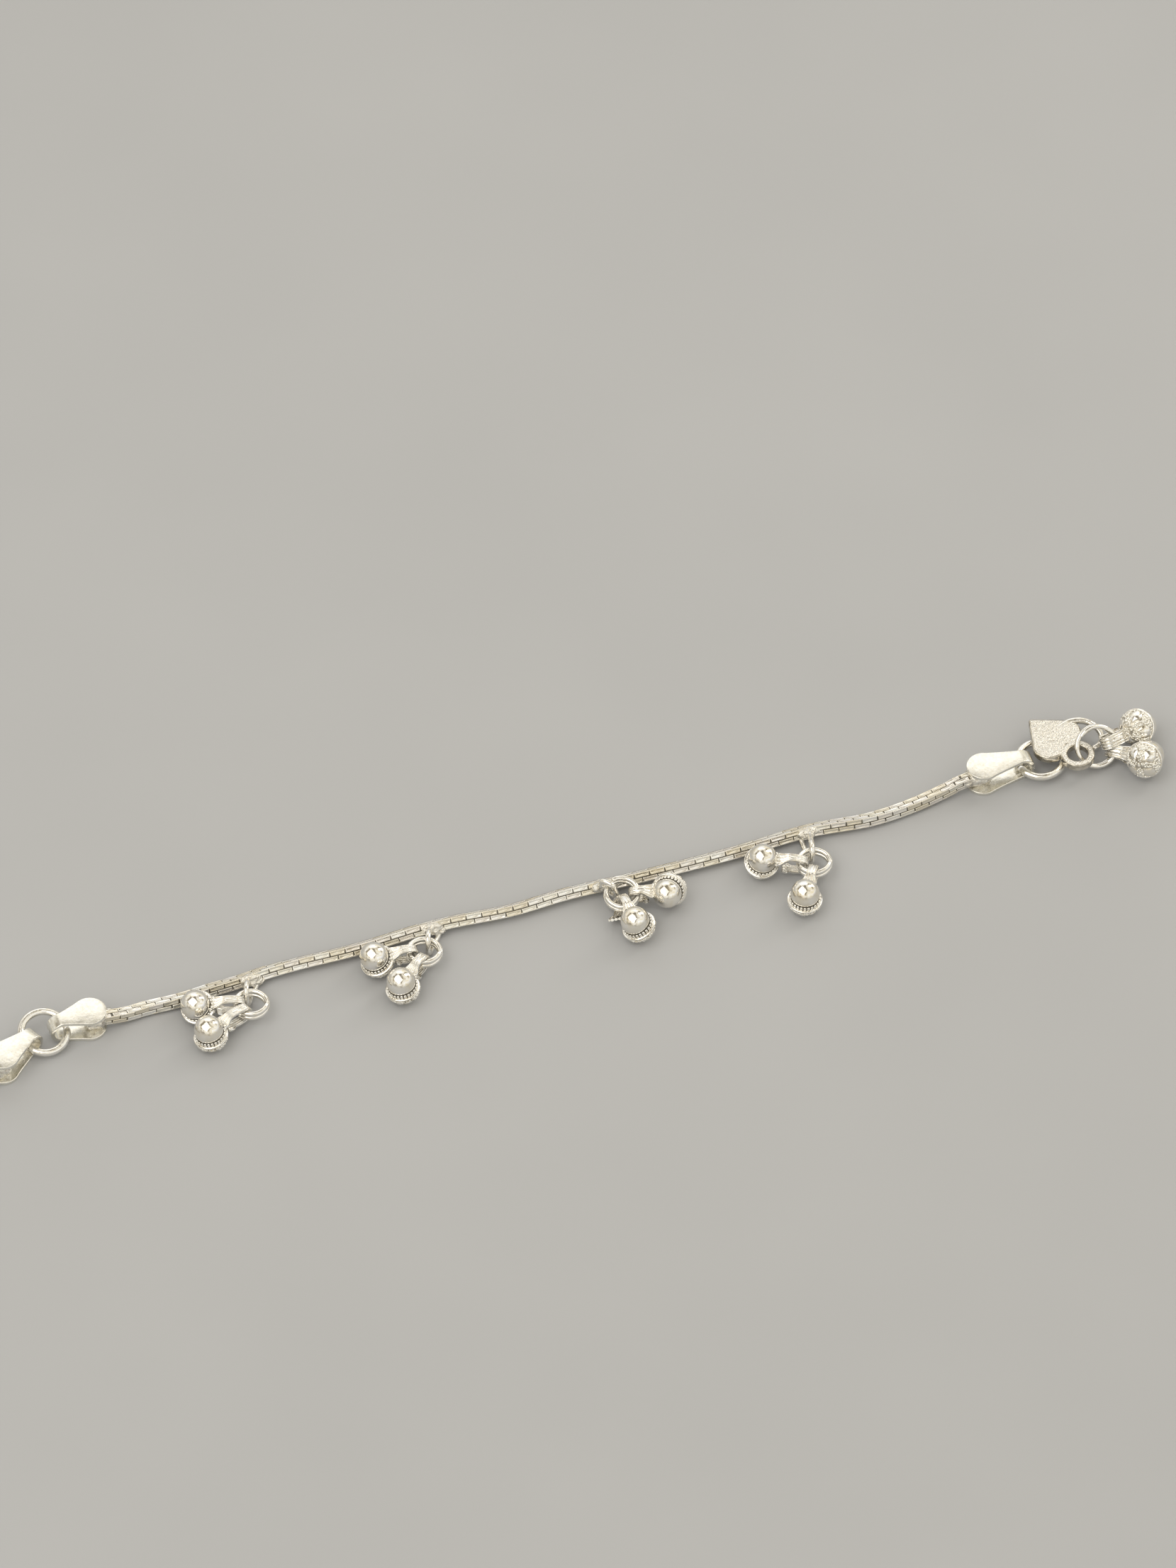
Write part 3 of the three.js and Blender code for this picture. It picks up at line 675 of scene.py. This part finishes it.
def chain_stations(route):
    curve = Route([p[:3] for p in route])

    def station(distance):
        centre, along = curve.along(distance)
        after = next((k for k, p in enumerate(route) if p[0] > centre.x), len(route) - 1)
        low, high = route[max(after - 1, 0)], route[max(after, 1)]
        share = min(max((centre.x - low[0]) / (high[0] - low[0]), 0), 1)
        roll = math.radians(low[3] + (high[3] - low[3]) * share)
        level = UP.cross(along).normalized()
        plumb = along.cross(level)
        side = level * math.cos(roll) + plumb * math.sin(roll)
        return centre, along, side, along.cross(side)

    return curve.length, station


def brick_run(length, offset):
    """Distance of each brick of a row and its share of a whole one: the first and last may be short."""
    count = int(length / BRICK_PITCH - offset)
    bricks = [(BRICK_PITCH * (i + 0.5 + offset), 1) for i in range(count)]
    if offset:
        bricks.insert(0, (BRICK_PITCH * 0.25, 0.5))
    left = length - BRICK_PITCH * (count + offset)
    if left > 0.3 * BRICK_PITCH:
        bricks.append((length - left / 2, left / BRICK_PITCH * 0.9))
    return bricks


def chain_layers(name, route, core, finish):
    length, station = chain_stations(route)
    outline = [(a * CORE_HALF, b * CORE_HALF) for a, b in ((1, -1), (1, 1), (-1, 1), (-1, -1))]
    steps = int(length / CORE_STEP)
    stations = []
    for i in range(steps + 1):
        centre, _, side, up = station(length * i / steps)
        stations.append((centre, side, up, outline))
    brick = block((BRICK_PITCH - BRICK_GAP, CHAIN_WIDTH / 2 - BRICK_GAP * 0.8, BRICK_HEIGHT), BRICK_DISH)
    places = []
    for row in range(8):
        face, half = divmod(row, 2)
        for distance, share in brick_run(length, 0.5 * half):
            centre, along, side, up = station(distance)
            angle = math.radians(90 * face)
            out = side * math.cos(angle) + up * math.sin(angle)
            over = along.cross(out) * (1 if half else -1)
            point = centre + out * (CHAIN_WIDTH - BRICK_HEIGHT) / 2 + over * CHAIN_WIDTH / 4
            across = out.cross(along)
            places.append((point, Matrix((along, across, out)).transposed(), (share, 1, 1)))
    skin = placed(repeated(f"{name}_bricks", brick, places, finish, seed=11))
    return [(sweep(stations), core), (skin, finish)]


# End caps

def rounded_section(half_width, thickness, radius):
    radius = min(radius, half_width * 0.9, thickness * 0.49)
    outline = []
    for sign_a, sign_b, first in ((1, -1, -90), (1, 1, 0), (-1, 1, 90), (-1, -1, 180)):
        for k in range(5):
            angle = math.radians(first + 22.5 * k)
            outline.append((sign_a * (half_width - radius) + radius * math.cos(angle),
                            sign_b * (thickness / 2 - radius) + radius * math.sin(angle)))
    return outline


def cap_shape(name):
    link, at, leaf_heading, play, length = CAPS[name]
    middle = CAP_HEIGHT / 2 - CAP_SHEET / 2
    centre_x = length - CAP_LEAF_RADIUS
    neck = CAP_NECK_WIDTH / 2
    shoulder = math.radians(CAP_SHOULDER)
    shoulder_x = centre_x + CAP_LEAF_RADIUS * math.cos(shoulder)
    leaf = []
    for i in range(15):
        angle = math.radians(4) + (shoulder - math.radians(4)) * i / 14
        leaf.append((centre_x + CAP_LEAF_RADIUS * math.cos(angle), CAP_LEAF_RADIUS * math.sin(angle)))
    widest = leaf[-1][1]
    leaf += [(shoulder_x * (1 - i / 6), widest + (neck - widest) * (i / 6) ** 0.9) for i in range(1, 7)]
    path = [(x, middle, Vector((0, 0, 1)), half) for x, half in leaf]
    for i in range(1, 16):
        angle = math.radians(90 + 180 * i / 16)
        out = Vector((math.cos(angle), 0, math.sin(angle)))
        path.append((middle * math.cos(angle), middle * math.sin(angle), out, neck))
    path += [(x, -middle, Vector((0, 0, -1)), half) for x, half in reversed(leaf)]
    stations = [(Vector((x, 0, z)), Vector((0, -1, 0)), out, rounded_section(half, CAP_SHEET, CAP_EDGE_ROUND))
                for x, z, out, half in path]
    ring = Vector(LINKS[link]["at"][:2]).to_3d()
    axis = ring + heading(at) * (LINK_RADIUS + play) + UP * CAP_HEIGHT / 2
    place = Matrix.Translation(axis) @ Matrix.Rotation(math.radians(leaf_heading), 4, "Z")
    inner = CAP_HEIGHT / 2 - CAP_SHEET
    seed = 1 + list(CAPS).index(name)
    lumps = [
        lumpy((1.9, 1.7, inner + 0.08), (length - 1.6, 0, 0), seed, 0.16),
        lumpy((1.3, 1.2, 0.8), (length + 0.2, 0.1, -0.3), seed + 9, 0.2),
    ]
    return moved(sweep(stations), place), moved(joined(lumps), place)


# Rings, coils and bails

def tilt_matrix(place):
    return Matrix.Translation(place["at"]) @ Matrix.Rotation(math.radians(place["tilt"]), 4, "X")


def jump_ring(place):
    """Round ring with the fine cut where its ends meet."""
    first, last = place["cut"] + LINK_CUT / 2, place["cut"] + 360 - LINK_CUT / 2
    count = 96
    points = [heading(first + (last - first) * i / count) * LINK_RADIUS for i in range(count + 1)]
    diameters = [LINK_WIRE * (1 - 0.25 * max(0, 1 - min(i, count - i) / 1.5)) for i in range(count + 1)]
    return moved(wire(points, diameters, sides=16), tilt_matrix(place))


def coil_shape(place, form):
    steps = round(form["turns"] * 56)
    points = []
    for i in range(steps + 1):
        turn = form["turns"] * i / steps
        point = heading(place["start"] + 360 * turn) * form["radius"]
        points.append(point + UP * form["pitch"] * (turn - form["turns"] / 2))
    diameters = [form["wire"] * (1 - 0.3 * max(0, 1 - min(i, steps - i) / 1.5)) for i in range(steps + 1)]
    return moved(wire(points, diameters, sides=14), tilt_matrix(place))


def band_point(place, form, at):
    turn = ((at - place["start"]) % 360) / 360
    height = form["pitch"] * (turn + 0.5 - form["turns"] / 2)
    return tilt_matrix(place) @ (heading(at) * form["radius"] + UP * height)


def bail_shapes(cluster, seed):
    x, y, at, hand = cluster["bail"]
    shift, length = cluster.get("solder", (-0.1, 1.6))
    root = Vector((x, y, 0))
    band = band_point(cluster, CLUSTER, at)
    out = Vector((band.x, band.y, 0)) - root
    reach = out.length
    out.normalize()
    along = UP.cross(out)
    clear = CLUSTER["pitch"] / 2 + CLUSTER["wire"] / 2 + BAIL_WIRE / 2 + 0.14
    low = band.z - clear
    shoulder = reach - CLUSTER["wire"] / 2 - BAIL_WIRE / 2
    turns = [
        (-1.1, 0.2, 0.85), (-0.8, 0.45 * reach, low + 0.05), (-0.3, reach, low),
        (-0.15, reach + 0.95, low + 0.05), (0, reach + 1.4, low + 0.65),
        (0.1, reach + 1.15, band.z + 0.35), (0.15, reach + 0.75, band.z + 0.9 * clear),
        (0.2, reach, band.z + clear + 0.05), (0.2, shoulder - 0.15, band.z + 0.85 * clear),
        (0.25, min(0.55 * reach, shoulder - 0.2), 0.5 * (band.z + clear) + 0.75),
        (0.3, min(0.2, shoulder - 0.3), 1.5),
    ]
    points = [root - along * hand * across + out * away + UP * z for across, away, z in turns]
    loop = wire(Route(points).smooth(90), BAIL_WIRE, first_side=along, sides=14)
    lumps = joined([
        lumpy((length, 0.8, 0.8), (x + shift, y - 0.45, 1.45), seed, 0.25),
        lumpy((0.9, 0.75, 0.55), points[0] + UP * 0.1, seed + 5, 0.25),
        lumpy((0.9, 0.7, 0.55), (points[0] + points[-1]) / 2 + out * 0.55, seed + 2, 0.25),
        lumpy((0.85, 0.7, 0.6), points[-1] * 0.7 + points[-2] * 0.3 - UP * 0.1, seed + 8, 0.25),
    ])
    return loop, lumps


# Bells

def ball_layers():
    """Dome, belt, rim and bowl about the dome axis, in their own layers."""
    rim_low = RIM_TOP - RIM_HEIGHT
    groove = [(0, rim_low + 0.1), (GROOVE_RADIUS - 0.35, rim_low + 0.12), (GROOVE_RADIUS, rim_low + 0.15),
              (GROOVE_RADIUS, BELT_TOP - 0.02), (GROOVE_RADIUS - 0.4, BELT_TOP), (0, BELT_TOP)]
    dome = [(0, BELT_TOP - 0.05), (DOME_RADIUS - 0.14, BELT_TOP - 0.05), (DOME_RADIUS - 0.05, BELT_TOP)]
    for i in range(23):
        angle = math.radians(-10 + 100 * i / 23)
        dome.append((DOME_RADIUS * math.cos(angle), DOME_CENTRE + DOME_RADIUS * math.sin(angle)))
    dome.append((0, DOME_CENTRE + DOME_RADIUS))
    rim = [(0, rim_low), (BOWL_RADIUS - 0.1, rim_low)]
    for angle in range(-80, 81, 20):
        turn = math.radians(angle)
        rim.append((RIM_RADIUS - 0.15 + 0.15 * math.cos(turn),
                    rim_low + RIM_HEIGHT / 2 * (1 + math.sin(turn))))
    rim += [(GROOVE_RADIUS - 0.05, RIM_TOP + 0.02), (0, RIM_TOP + 0.02)]
    bowl = [(0, rim_low - BOWL_DEPTH + BOWL_INSET)]
    for i in range(1, 22):
        angle = math.radians(90 * i / 21)
        bowl.append(((BOWL_RADIUS - BOWL_INSET) * math.sin(angle),
                     rim_low - (BOWL_DEPTH - BOWL_INSET) * math.cos(angle)))
    bowl.append((0, rim_low + 0.05))
    return [revolved(profile, BALL_SIDES) for profile in (dome, groove, rim, bowl)]


def bowl_point(lat, lon, lift=0.0):
    """Point and outward normal on the bowl: lat 0 at its bottom, 90 at the rim."""
    a, b = BOWL_RADIUS - BOWL_INSET + lift, BOWL_DEPTH - BOWL_INSET + lift
    down, round_ = math.radians(lat), math.radians(lon)
    r, z = a * math.sin(down), -b * math.cos(down)
    point = Vector((r * math.cos(round_), r * math.sin(round_), RIM_TOP - RIM_HEIGHT + z))
    slope = Vector((math.sin(down) / a, -math.cos(down) / b, 0)).normalized()
    normal = Vector((slope.x * math.cos(round_), slope.x * math.sin(round_), slope.y))
    return point, normal


def petal_half_width(lat):
    """Half width of a smooth petal in degrees of longitude."""
    if not PETAL_LOW < lat < PETAL_HIGH:
        return 0.0
    share = (lat - PETAL_LOW) / (PETAL_HIGH - PETAL_LOW)
    return PETAL_HALF_WIDTH * math.sin(math.pi * share) ** 0.8 * (1.2 - 0.4 * share)


def petal_shape(index):
    """Smooth lozenge on the bowl, raised in the middle and pointed at both ends."""
    middle = 360 * index / PETALS + 45
    rows, across = 18, 9
    points, faces = [], []
    for layer in (0.17, -0.12):
        for i in range(rows + 1):
            lat = PETAL_LOW + 0.01 + (PETAL_HIGH - PETAL_LOW - 0.02) * i / rows
            half = petal_half_width(lat)
            for k in range(across):
                share = 2 * k / (across - 1) - 1
                lift = layer * (1 - 0.75 * share ** 2) if layer > 0 else layer
                points.append(bowl_point(lat, middle + half * share, lift)[0])
    total = (rows + 1) * across
    for i in range(rows):
        for k in range(across - 1):
            a = i * across + k
            faces.append((a, a + across, a + across + 1, a + 1))
            faces.append((total + a, total + a + 1, total + a + across + 1, total + a + across))
        for k in (0, across - 1):
            a, b = i * across + k, (i + 1) * across + k
            quad = (a, total + a, total + b, b)
            faces.append(quad if k == 0 else quad[::-1])
    return points, faces


def granule_places():
    """Grains spread evenly over the bowl between the petals."""
    places = []
    turn = 180 * (3 - 5 ** 0.5)
    for i in range(GRAINS):
        down = math.degrees(math.acos(1 - (i + 0.5) / GRAINS))
        lon = turn * i % 360
        jitter = noise.noise_vector(Vector((i * 0.71, 2.3, 1.1)))
        lat = down + 3.5 * jitter.x
        lon += 5 * jitter.y / max(math.sin(math.radians(down)), 0.15)
        nearest = (lon - 45 + 180 / PETALS) % (360 / PETALS) - 180 / PETALS
        if abs(nearest) < petal_half_width(lat) + 4 / max(math.sin(math.radians(max(lat, 8))), 0.2):
            continue
        if lat > GRAIN_HIGHEST:
            continue
        size = GRAIN_SIZE * (1 + 0.7 * jitter.z)
        stretch = 1 + 0.6 * jitter.x
        point, normal = bowl_point(lat, lon, 0.02)
        turn_matrix = normal.to_track_quat("Z", "Y").to_matrix() @ Matrix.Rotation(6 * jitter.y, 3, "Z")
        places.append((point, turn_matrix, (size * stretch, size / stretch, size * 0.85)))
    return places


def tooth_places():
    places = []
    for i in range(BELT_TEETH):
        out = heading(360 * i / BELT_TEETH)
        point = out * (BELT_RADIUS - 0.14) + UP * (RIM_TOP + 0.31)
        across = UP.cross(out)
        places.append((point, Matrix((across, UP, across.cross(UP))).transposed(), (1, 1, 1)))
    return places


def shank_rows(bend, splay, widening):
    """Centre, width of the strip and sideways drift at each station from the ball to the free end."""
    rows = [
        (1.3, SHANK_FOOT_HEIGHT, SHANK_FOOT_WIDTH, 0),
        (SHANK_TAPER_START, SHANK_FOOT_HEIGHT, SHANK_FOOT_WIDTH, 0),
        (SHANK_TAPER_END, SHANK_FOLD_RADIUS, SHANK_WIDTH * widening, 0),
    ]
    for i in range(7):
        turn = math.radians(90 - 30 * i)
        rows.append((bend + SHANK_FOLD_RADIUS * math.cos(turn), SHANK_FOLD_RADIUS * math.sin(turn),
                     SHANK_WIDTH * widening, SHANK_FOLD_DRIFT * i / 6))
    free = bend - SHANK_FREE_END
    for share, width, height in ((0.45, SHANK_WIDTH * widening, 0.0), (0.75, SHANK_FOOT_WIDTH, 0.25),
                                 (1, SHANK_FOOT_WIDTH, 0.5)):
        drift = SHANK_FOLD_DRIFT + (1 - SHANK_FOLD_DRIFT) * share
        rows.append((bend - free * share, height - SHANK_FOLD_RADIUS, width, drift))
    return [(Vector((x, splay * drift, z)), width) for x, z, width, drift in rows]


def shank_outline(width):
    """Strip section with rounded ribs on both faces, the outer two raised as borders."""
    half, high = width / 2, SHANK_THICKNESS / 2
    count = 24
    outline = []
    for sign in (-1, 1):
        for k in range(count + 1):
            share = sign * (1 - 2 * k / count)
            crown = high * (0.82 + 0.18 * abs(share))
            rib = abs(math.cos(2 * math.pi * share)) ** 0.6
            edge = 1 - 0.5 * max(0, abs(share) - 0.9) / 0.1
            outline.append((half * share, sign * crown * (0.1 + 0.9 * rib) * edge))
    return outline


def shank_shape(bend, splay, widening):
    rows = shank_rows(bend, splay, widening)
    curve = Route([centre for centre, _ in rows])
    count = 72
    stations = []
    side = Vector((0, 1, 0))
    for i in range(count + 1):
        share = i / count
        centre = curve.at(share)
        along = (curve.at(min(share + 0.004, 1)) - curve.at(max(share - 0.004, 0))).normalized()
        where = share * (len(rows) - 1)
        k = min(int(where), len(rows) - 2)
        blend = where - k
        blend = blend * blend * (3 - 2 * blend)
        width = rows[k][1] * (1 - blend) + rows[k + 1][1] * blend
        level = (side - along * side.dot(along)).normalized()
        stations.append((centre, level, level.cross(along) * -1, shank_outline(width)))
    return sweep(stations)


def leaf_shape(bend):
    """Raised leaf on the strip between its foot and its fold."""
    middle = 0.5 * (SHANK_TAPER_END + bend)
    return lumpy((0.95, 0.36, 0.16), (middle, 0, SHANK_FOLD_RADIUS + 0.16), 3, 0.04, 10, 20)


def collar_places():
    """Grains soldered round the foot of the shank."""
    places = []
    for i in range(COLLAR_GRAINS):
        angle = 2 * math.pi * (i + 0.5) / COLLAR_GRAINS
        point = Vector((2.02 - 0.1 * math.cos(2 * angle), 1.05 * math.cos(angle),
                        0.45 + 0.52 * math.sin(angle)))
        size = 0.23 + 0.04 * math.sin(5 * i)
        places.append((point, Matrix.Identity(3), (size, size, size)))
    return places


def bell_frames(bell, place, form, size):
    x, y, at, lean, tip, splay, reach = bell
    target = band_point(place, form, at)
    centre = Vector((x, y, BELL_HEIGHT))
    along = (target - centre).normalized()
    tangent = (tilt_matrix(place).to_3x3() @ heading(at + 90)).normalized()
    across = (tangent - along * tangent.dot(along)).normalized()
    if along.cross(across).z < 0:
        across.negate()
    shank = frame_of(along, across, along.cross(across), centre)
    level = UP.cross(along).normalized()
    ball = (frame_of(along, level, along.cross(level), centre) @ Matrix.Rotation(math.radians(lean), 4, "X")
            @ Matrix.Rotation(math.radians(-tip), 4, "Y") @ Matrix.Scale(size, 4))
    return ball, shank, (target - centre).length + SHANK_SLACK + reach, splay


# Clasp

def heart_outline(count=120):
    """Outline of the two lobes and the tip, seen from a point inside."""
    centre = Vector((0, 1.2))
    reach = math.hypot(HEART_TIP, HEART_LOBE_OFFSET)
    lean = math.atan2(HEART_TIP, HEART_LOBE_OFFSET) - math.asin((HEART_LOBE_RADIUS - HEART_TIP_ROUND) / reach)
    side_angle = math.pi / 2 - lean
    normal = Vector((math.cos(side_angle), math.sin(side_angle)))
    lobe = Vector((HEART_LOBE_OFFSET, 0)) + normal * HEART_LOBE_RADIUS
    top = Vector((0, HEART_TIP)) + normal * HEART_TIP_ROUND
    rounds = ((-HEART_LOBE_OFFSET, 0, HEART_LOBE_RADIUS), (HEART_LOBE_OFFSET, 0, HEART_LOBE_RADIUS),
              (0, HEART_TIP, HEART_TIP_ROUND))
    outline = []
    for i in range(count):
        angle = 2 * math.pi * i / count
        ray = Vector((math.cos(angle), math.sin(angle)))
        best = 0.0
        for x, y, radius in rounds:
            offset = Vector((x, y)) - centre
            near = ray.dot(offset)
            inside = near ** 2 - offset.length_squared + radius ** 2
            if inside > 0:
                best = max(best, near + math.sqrt(inside))
        for sign in (-1, 1):
            a, b = Vector((sign * lobe.x, lobe.y)) - centre, Vector((sign * top.x, top.y)) - centre
            edge = b - a
            cross = ray.x * edge.y - ray.y * edge.x
            if abs(cross) < TINY:
                continue
            distance = (a.x * edge.y - a.y * edge.x) / cross
            share = (a.x * ray.y - a.y * ray.x) / cross
            if distance > 0 and 0 <= share <= 1:
                best = max(best, distance)
        outline.append(centre + ray * best)
    return outline, centre


def heart_shape(levels, stipple):
    """Plate built as rings that shrink towards the middle, its top stippled to a height."""
    outline, centre = heart_outline()
    top = levels[-1][1]
    rings = []
    count = len(outline)
    for inset, z in levels:
        ring = []
        for i, p in enumerate(outline):
            edge = outline[(i + 1) % count] - outline[i - 1]
            inward = Vector((-edge.y, edge.x)).normalized()
            q = p + inward * inset
            ring.append(Vector((q.x, q.y, z)))
        rings.append(ring)
    last = rings[-1]
    middle = Vector((centre.x, centre.y, top))
    for i in range(1, HEART_RINGS):
        rings.append([middle + (p - middle) * (1 - i / HEART_RINGS) for p in last])
    for ring in rings[len(levels) - 1:]:
        for p in ring:
            p.z += stipple * (noise.noise(p * 3.6) + 0.7 * noise.noise(p * 7.3))
    return closed_skin(rings, Vector((centre.x, centre.y, levels[0][1])), middle)


def eye_shape(half, low, high, radius, wave=0.0):
    """Flat washer with rounded edges round the coil, its middle height waved a little."""
    middle = (EYE_RADIUS + EYE_HOLE_RADIUS) / 2
    outline = rounded_section(half, high - low, radius)
    stations = []
    for i in range(72):
        out = heading(5 * i)
        height = (low + high) / 2 + wave * noise.noise(out * 4.7)
        stations.append((Vector((0, -EYE_OFFSET, height)) + out * middle, out, UP, outline))
    points, faces = sweep(stations, closed=True)
    return points, [face[::-1] for face in faces]


def clasp_layers(cast, painted_shade, polished):
    x, y, turn = HEART
    place = Matrix.Translation((x, y, 0)) @ Matrix.Rotation(math.radians(turn - 90), 4, "Z")
    top = HEART_BOTTOM + HEART_THICKNESS
    half = (EYE_RADIUS - EYE_HOLE_RADIUS) / 2
    body = moved(joined([
        heart_shape([(0.35, HEART_BOTTOM), (0.12, HEART_BOTTOM), (0, HEART_BOTTOM + 0.13), (0, top - 0.22),
                     (0.05, top - 0.1), (0.15, top - 0.04), (0.24, top - 0.03)], 0),
        eye_shape(half, HEART_BOTTOM, top - 0.03, 0.2)]), place)
    inlay = moved(joined([
        heart_shape([(0.3, top - 0.2), (0.22, top - 0.2), (0.2, top - 0.06),
                     (0.26, top - 0.01), (0.34, top)], 0.06),
        eye_shape(half - 0.16, top - 0.2, top + 0.01, 0.07, 0.04)]), place)
    tongue = wire(Route(TONGUE_ROUTE).smooth(TONGUE_STEPS), [
        TONGUE_WIRE - 0.3 * i / TONGUE_STEPS - 0.25 * max(0, i + 3 - TONGUE_STEPS) / 3
        for i in range(TONGUE_STEPS + 1)], sides=14)
    ring = LINKS["ring_clasp"]["at"]
    out = heading(STAPLE_ANGLE)
    middle = Vector(ring) + out * LINK_RADIUS
    half = LINK_WIRE / 2 + STAPLE_WIRE / 2 + 0.14
    top = HEART_BOTTOM + 0.3 - ring[2]
    corners = [(-half, top), (-half, -0.35), (-0.5 * half, -half),
               (0.5 * half, -half), (half, -0.35), (half, top)]
    staple = wire(Route([middle + out * across + UP * z for across, z in corners]).smooth(40), STAPLE_WIRE,
                  first_side=UP.cross(out))
    # The body's walls carry the darker painted-shade silver; the stippled inlay on top is cast silver
    return [(body, painted_shade), (inlay, cast), (joined([tongue, staple]), polished)]


# Camera and lights come first

def camera():
    """Long lens at the photo's angle, so that the whole frame is about 166 mm wide."""
    azimuth, elevation, distance = math.radians(-19.6), math.radians(50), CAMERA_DISTANCE
    target = (CAMERA_TARGET + SHIFT) * MM
    look = Vector((-math.sin(azimuth) * math.cos(elevation), math.cos(azimuth) * math.cos(elevation),
                   -math.sin(elevation)))
    data = bpy.data.cameras.new("photo_camera")
    data.sensor_fit = "VERTICAL"
    data.sensor_height = 24.0
    data.lens = data.sensor_height * distance / (FRAME_HEIGHT * MM)
    data.clip_start, data.clip_end = 0.05, 20
    view = bpy.data.objects.new("photo_camera", data)
    view.location = target - look * distance
    view.rotation_euler = look.to_track_quat("-Z", "Y").to_euler()
    bpy.context.scene.collection.objects.link(view)
    bpy.context.scene.camera = view


def softbox(name, place, aim, size, power, warm=(1, 1, 1)):
    data = bpy.data.lights.new(name, "AREA")
    data.shape = "RECTANGLE"
    data.size, data.size_y = size
    data.energy = power
    data.color = warm
    lamp = bpy.data.objects.new(name, data)
    lamp.location = place
    lamp.rotation_euler = (Vector(aim) - Vector(place)).to_track_quat("-Z", "Y").to_euler()
    bpy.context.scene.collection.objects.link(lamp)


def sky_light():
    """Soft bright surroundings with darker and creamier patches, for the metal to mirror."""
    world = bpy.data.worlds.new("studio")
    bpy.context.scene.world = world
    world.use_nodes = True
    sky = world.node_tree.nodes["Background"]
    direction = node(world, "ShaderNodeTexCoord").outputs["Generated"]
    patches = spread(world, grain(world, direction, 1.5, 1), 0.2, 0.8, 0.32, 0.68)
    light = tint(world, patches, [
        (0.26, 0.23, 0.18), (0.7, 0.64, 0.5), (1, 0.98, 0.95), (0.88, 0.82, 0.62), (1, 1, 1)])
    height = node(world, "ShaderNodeSeparateXYZ", [("Vector", direction)]).outputs["Z"]
    fade = spread(world, height, 0, 1, 0, 0.4)
    faded = node(world, "ShaderNodeMix", [(0, fade), (7, light)], data_type="RGBA")
    faded.inputs[6].default_value = (0.5, 0.48, 0.44, 1)
    seen = node(world, "ShaderNodeLightPath").outputs["Is Camera Ray"]
    plain = node(world, "ShaderNodeMix", [(0, seen)], data_type="RGBA")
    plain.inputs[7].default_value = (0.8, 0.8, 0.8, 1)
    world.node_tree.links.new(faded.outputs[2], plain.inputs[6])
    world.node_tree.links.new(plain.outputs[2], sky.inputs["Color"])
    sky.inputs["Strength"].default_value = 1.0


def studio():
    bpy.context.scene.view_settings.view_transform = "Standard"
    sky_light()
    softbox("key_box", (-0.25, -0.1, 0.6), (0.03, 0, 0), (0.8, 0.65), 1.7, (1, 0.98, 0.95))
    softbox("back_box", (0.15, 0.42, 0.53), (0.03, 0, 0), (0.6, 0.3), 0.28)
    softbox("right_box", (0.5, 0.15, 0.35), (0.05, 0, 0), (0.15, 0.4), 0.5, (1, 0.96, 0.9))
    bpy.ops.mesh.primitive_plane_add(size=2.4, location=(0, 0, 0))
    floor = bpy.context.object
    floor.name = "pale_floor"
    floor.data.materials.append(paper_floor())


camera()
studio()

WIRE = wire_silver()
DOME = dome_silver()
BRICK = brick_silver()
SOLDER = solder_silver()
CAP = cap_silver()
CAST = cast_silver()
GRAIN = granule_silver()
SHADOW = shadow_metal()
PAINTED_SHADE = painted_shade_silver()


def build_chains():
    runs = (("front", FRONT_ROUTE, ("left", "right")), ("back", BACK_ROUTE, ("inner", "outer")))
    for run, route, _ in runs:
        piece(f"{run}_chain", chain_layers(run, route, SHADOW, BRICK), "chain_metal", f"chain_{run}")
    for run, _, names in runs:
        sheets, lumps = zip(*(cap_shape(name) for name in names))
        piece(f"{run}_caps", [(joined(sheets), CAP), (joined(lumps), SOLDER)], "chain_metal", f"chain_{run}")
    loops, lumps = zip(*(bail_shapes(cluster, 20 + i) for i, cluster in enumerate(CLUSTERS)))
    piece("bails", [(joined(loops), WIRE), (joined(lumps), SOLDER)], "chain_metal", "chain_front")


def build_rings():
    for name, place in LINKS.items():
        piece(f"{name}_wire", [(jump_ring(place), WIRE)], "ring_metal", name)
    piece("coil_wire", [(coil_shape(COIL, COIL_FORM), WIRE)], "ring_metal", "coil_ring")
    for i, cluster in enumerate(CLUSTERS, 1):
        piece(f"cluster_wire_{i}", [(coil_shape(cluster, CLUSTER), WIRE)], "ring_metal", f"cluster_ring_{i}")


def build_bells():
    dome, groove, rim, bowl = ball_layers()
    petals = joined([petal_shape(i) for i in range(PETALS)])
    grains = repeated("bowl_grains", grain_ball(), granule_places(), GRAIN, seed=5)
    teeth = repeated("belt_teeth", block(TOOTH_SIZE), tooth_places(), WIRE, seed=7)
    collar = repeated("foot_grains", grain_ball(), collar_places(), GRAIN, seed=9)
    hung = [(f"{i}{letter}", bell, cluster, CLUSTER, 1, SHANK_WIDENING)
            for i, cluster in enumerate(CLUSTERS, 1) for letter, bell in cluster["bells"].items()]
    hung += [(f"end_{letter}", bell, COIL, COIL_FORM, END_BELL_SIZE, END_SHANK_WIDENING)
             for letter, bell in END_BELLS.items()]
    for name, bell, place, form, size, widening in hung:
        ball, shank, bend, splay = bell_frames(bell, place, form, size)
        # The bowl takes the darker painted-shade silver
        layers = [(moved(shape, ball), mat) for shape, mat in (
            (dome, DOME), (groove, SHADOW), (rim, WIRE), (bowl, PAINTED_SHADE), (petals, DOME))]
        layers += [(placed(grains, ball), GRAIN), (placed(teeth, ball), WIRE),
                   (placed(collar, shank @ Matrix.Scale(size, 4)), GRAIN),
                   (moved(joined([shank_shape(bend, splay, widening), leaf_shape(bend)]), shank), WIRE)]
        piece(f"bell_{name}_metal", layers, "bell_metal", f"bell_{name}")


build_chains()
build_rings()
piece("clasp_metal", clasp_layers(CAST, PAINTED_SHADE, WIRE), "cast_metal", "heart_hook")
build_bells()
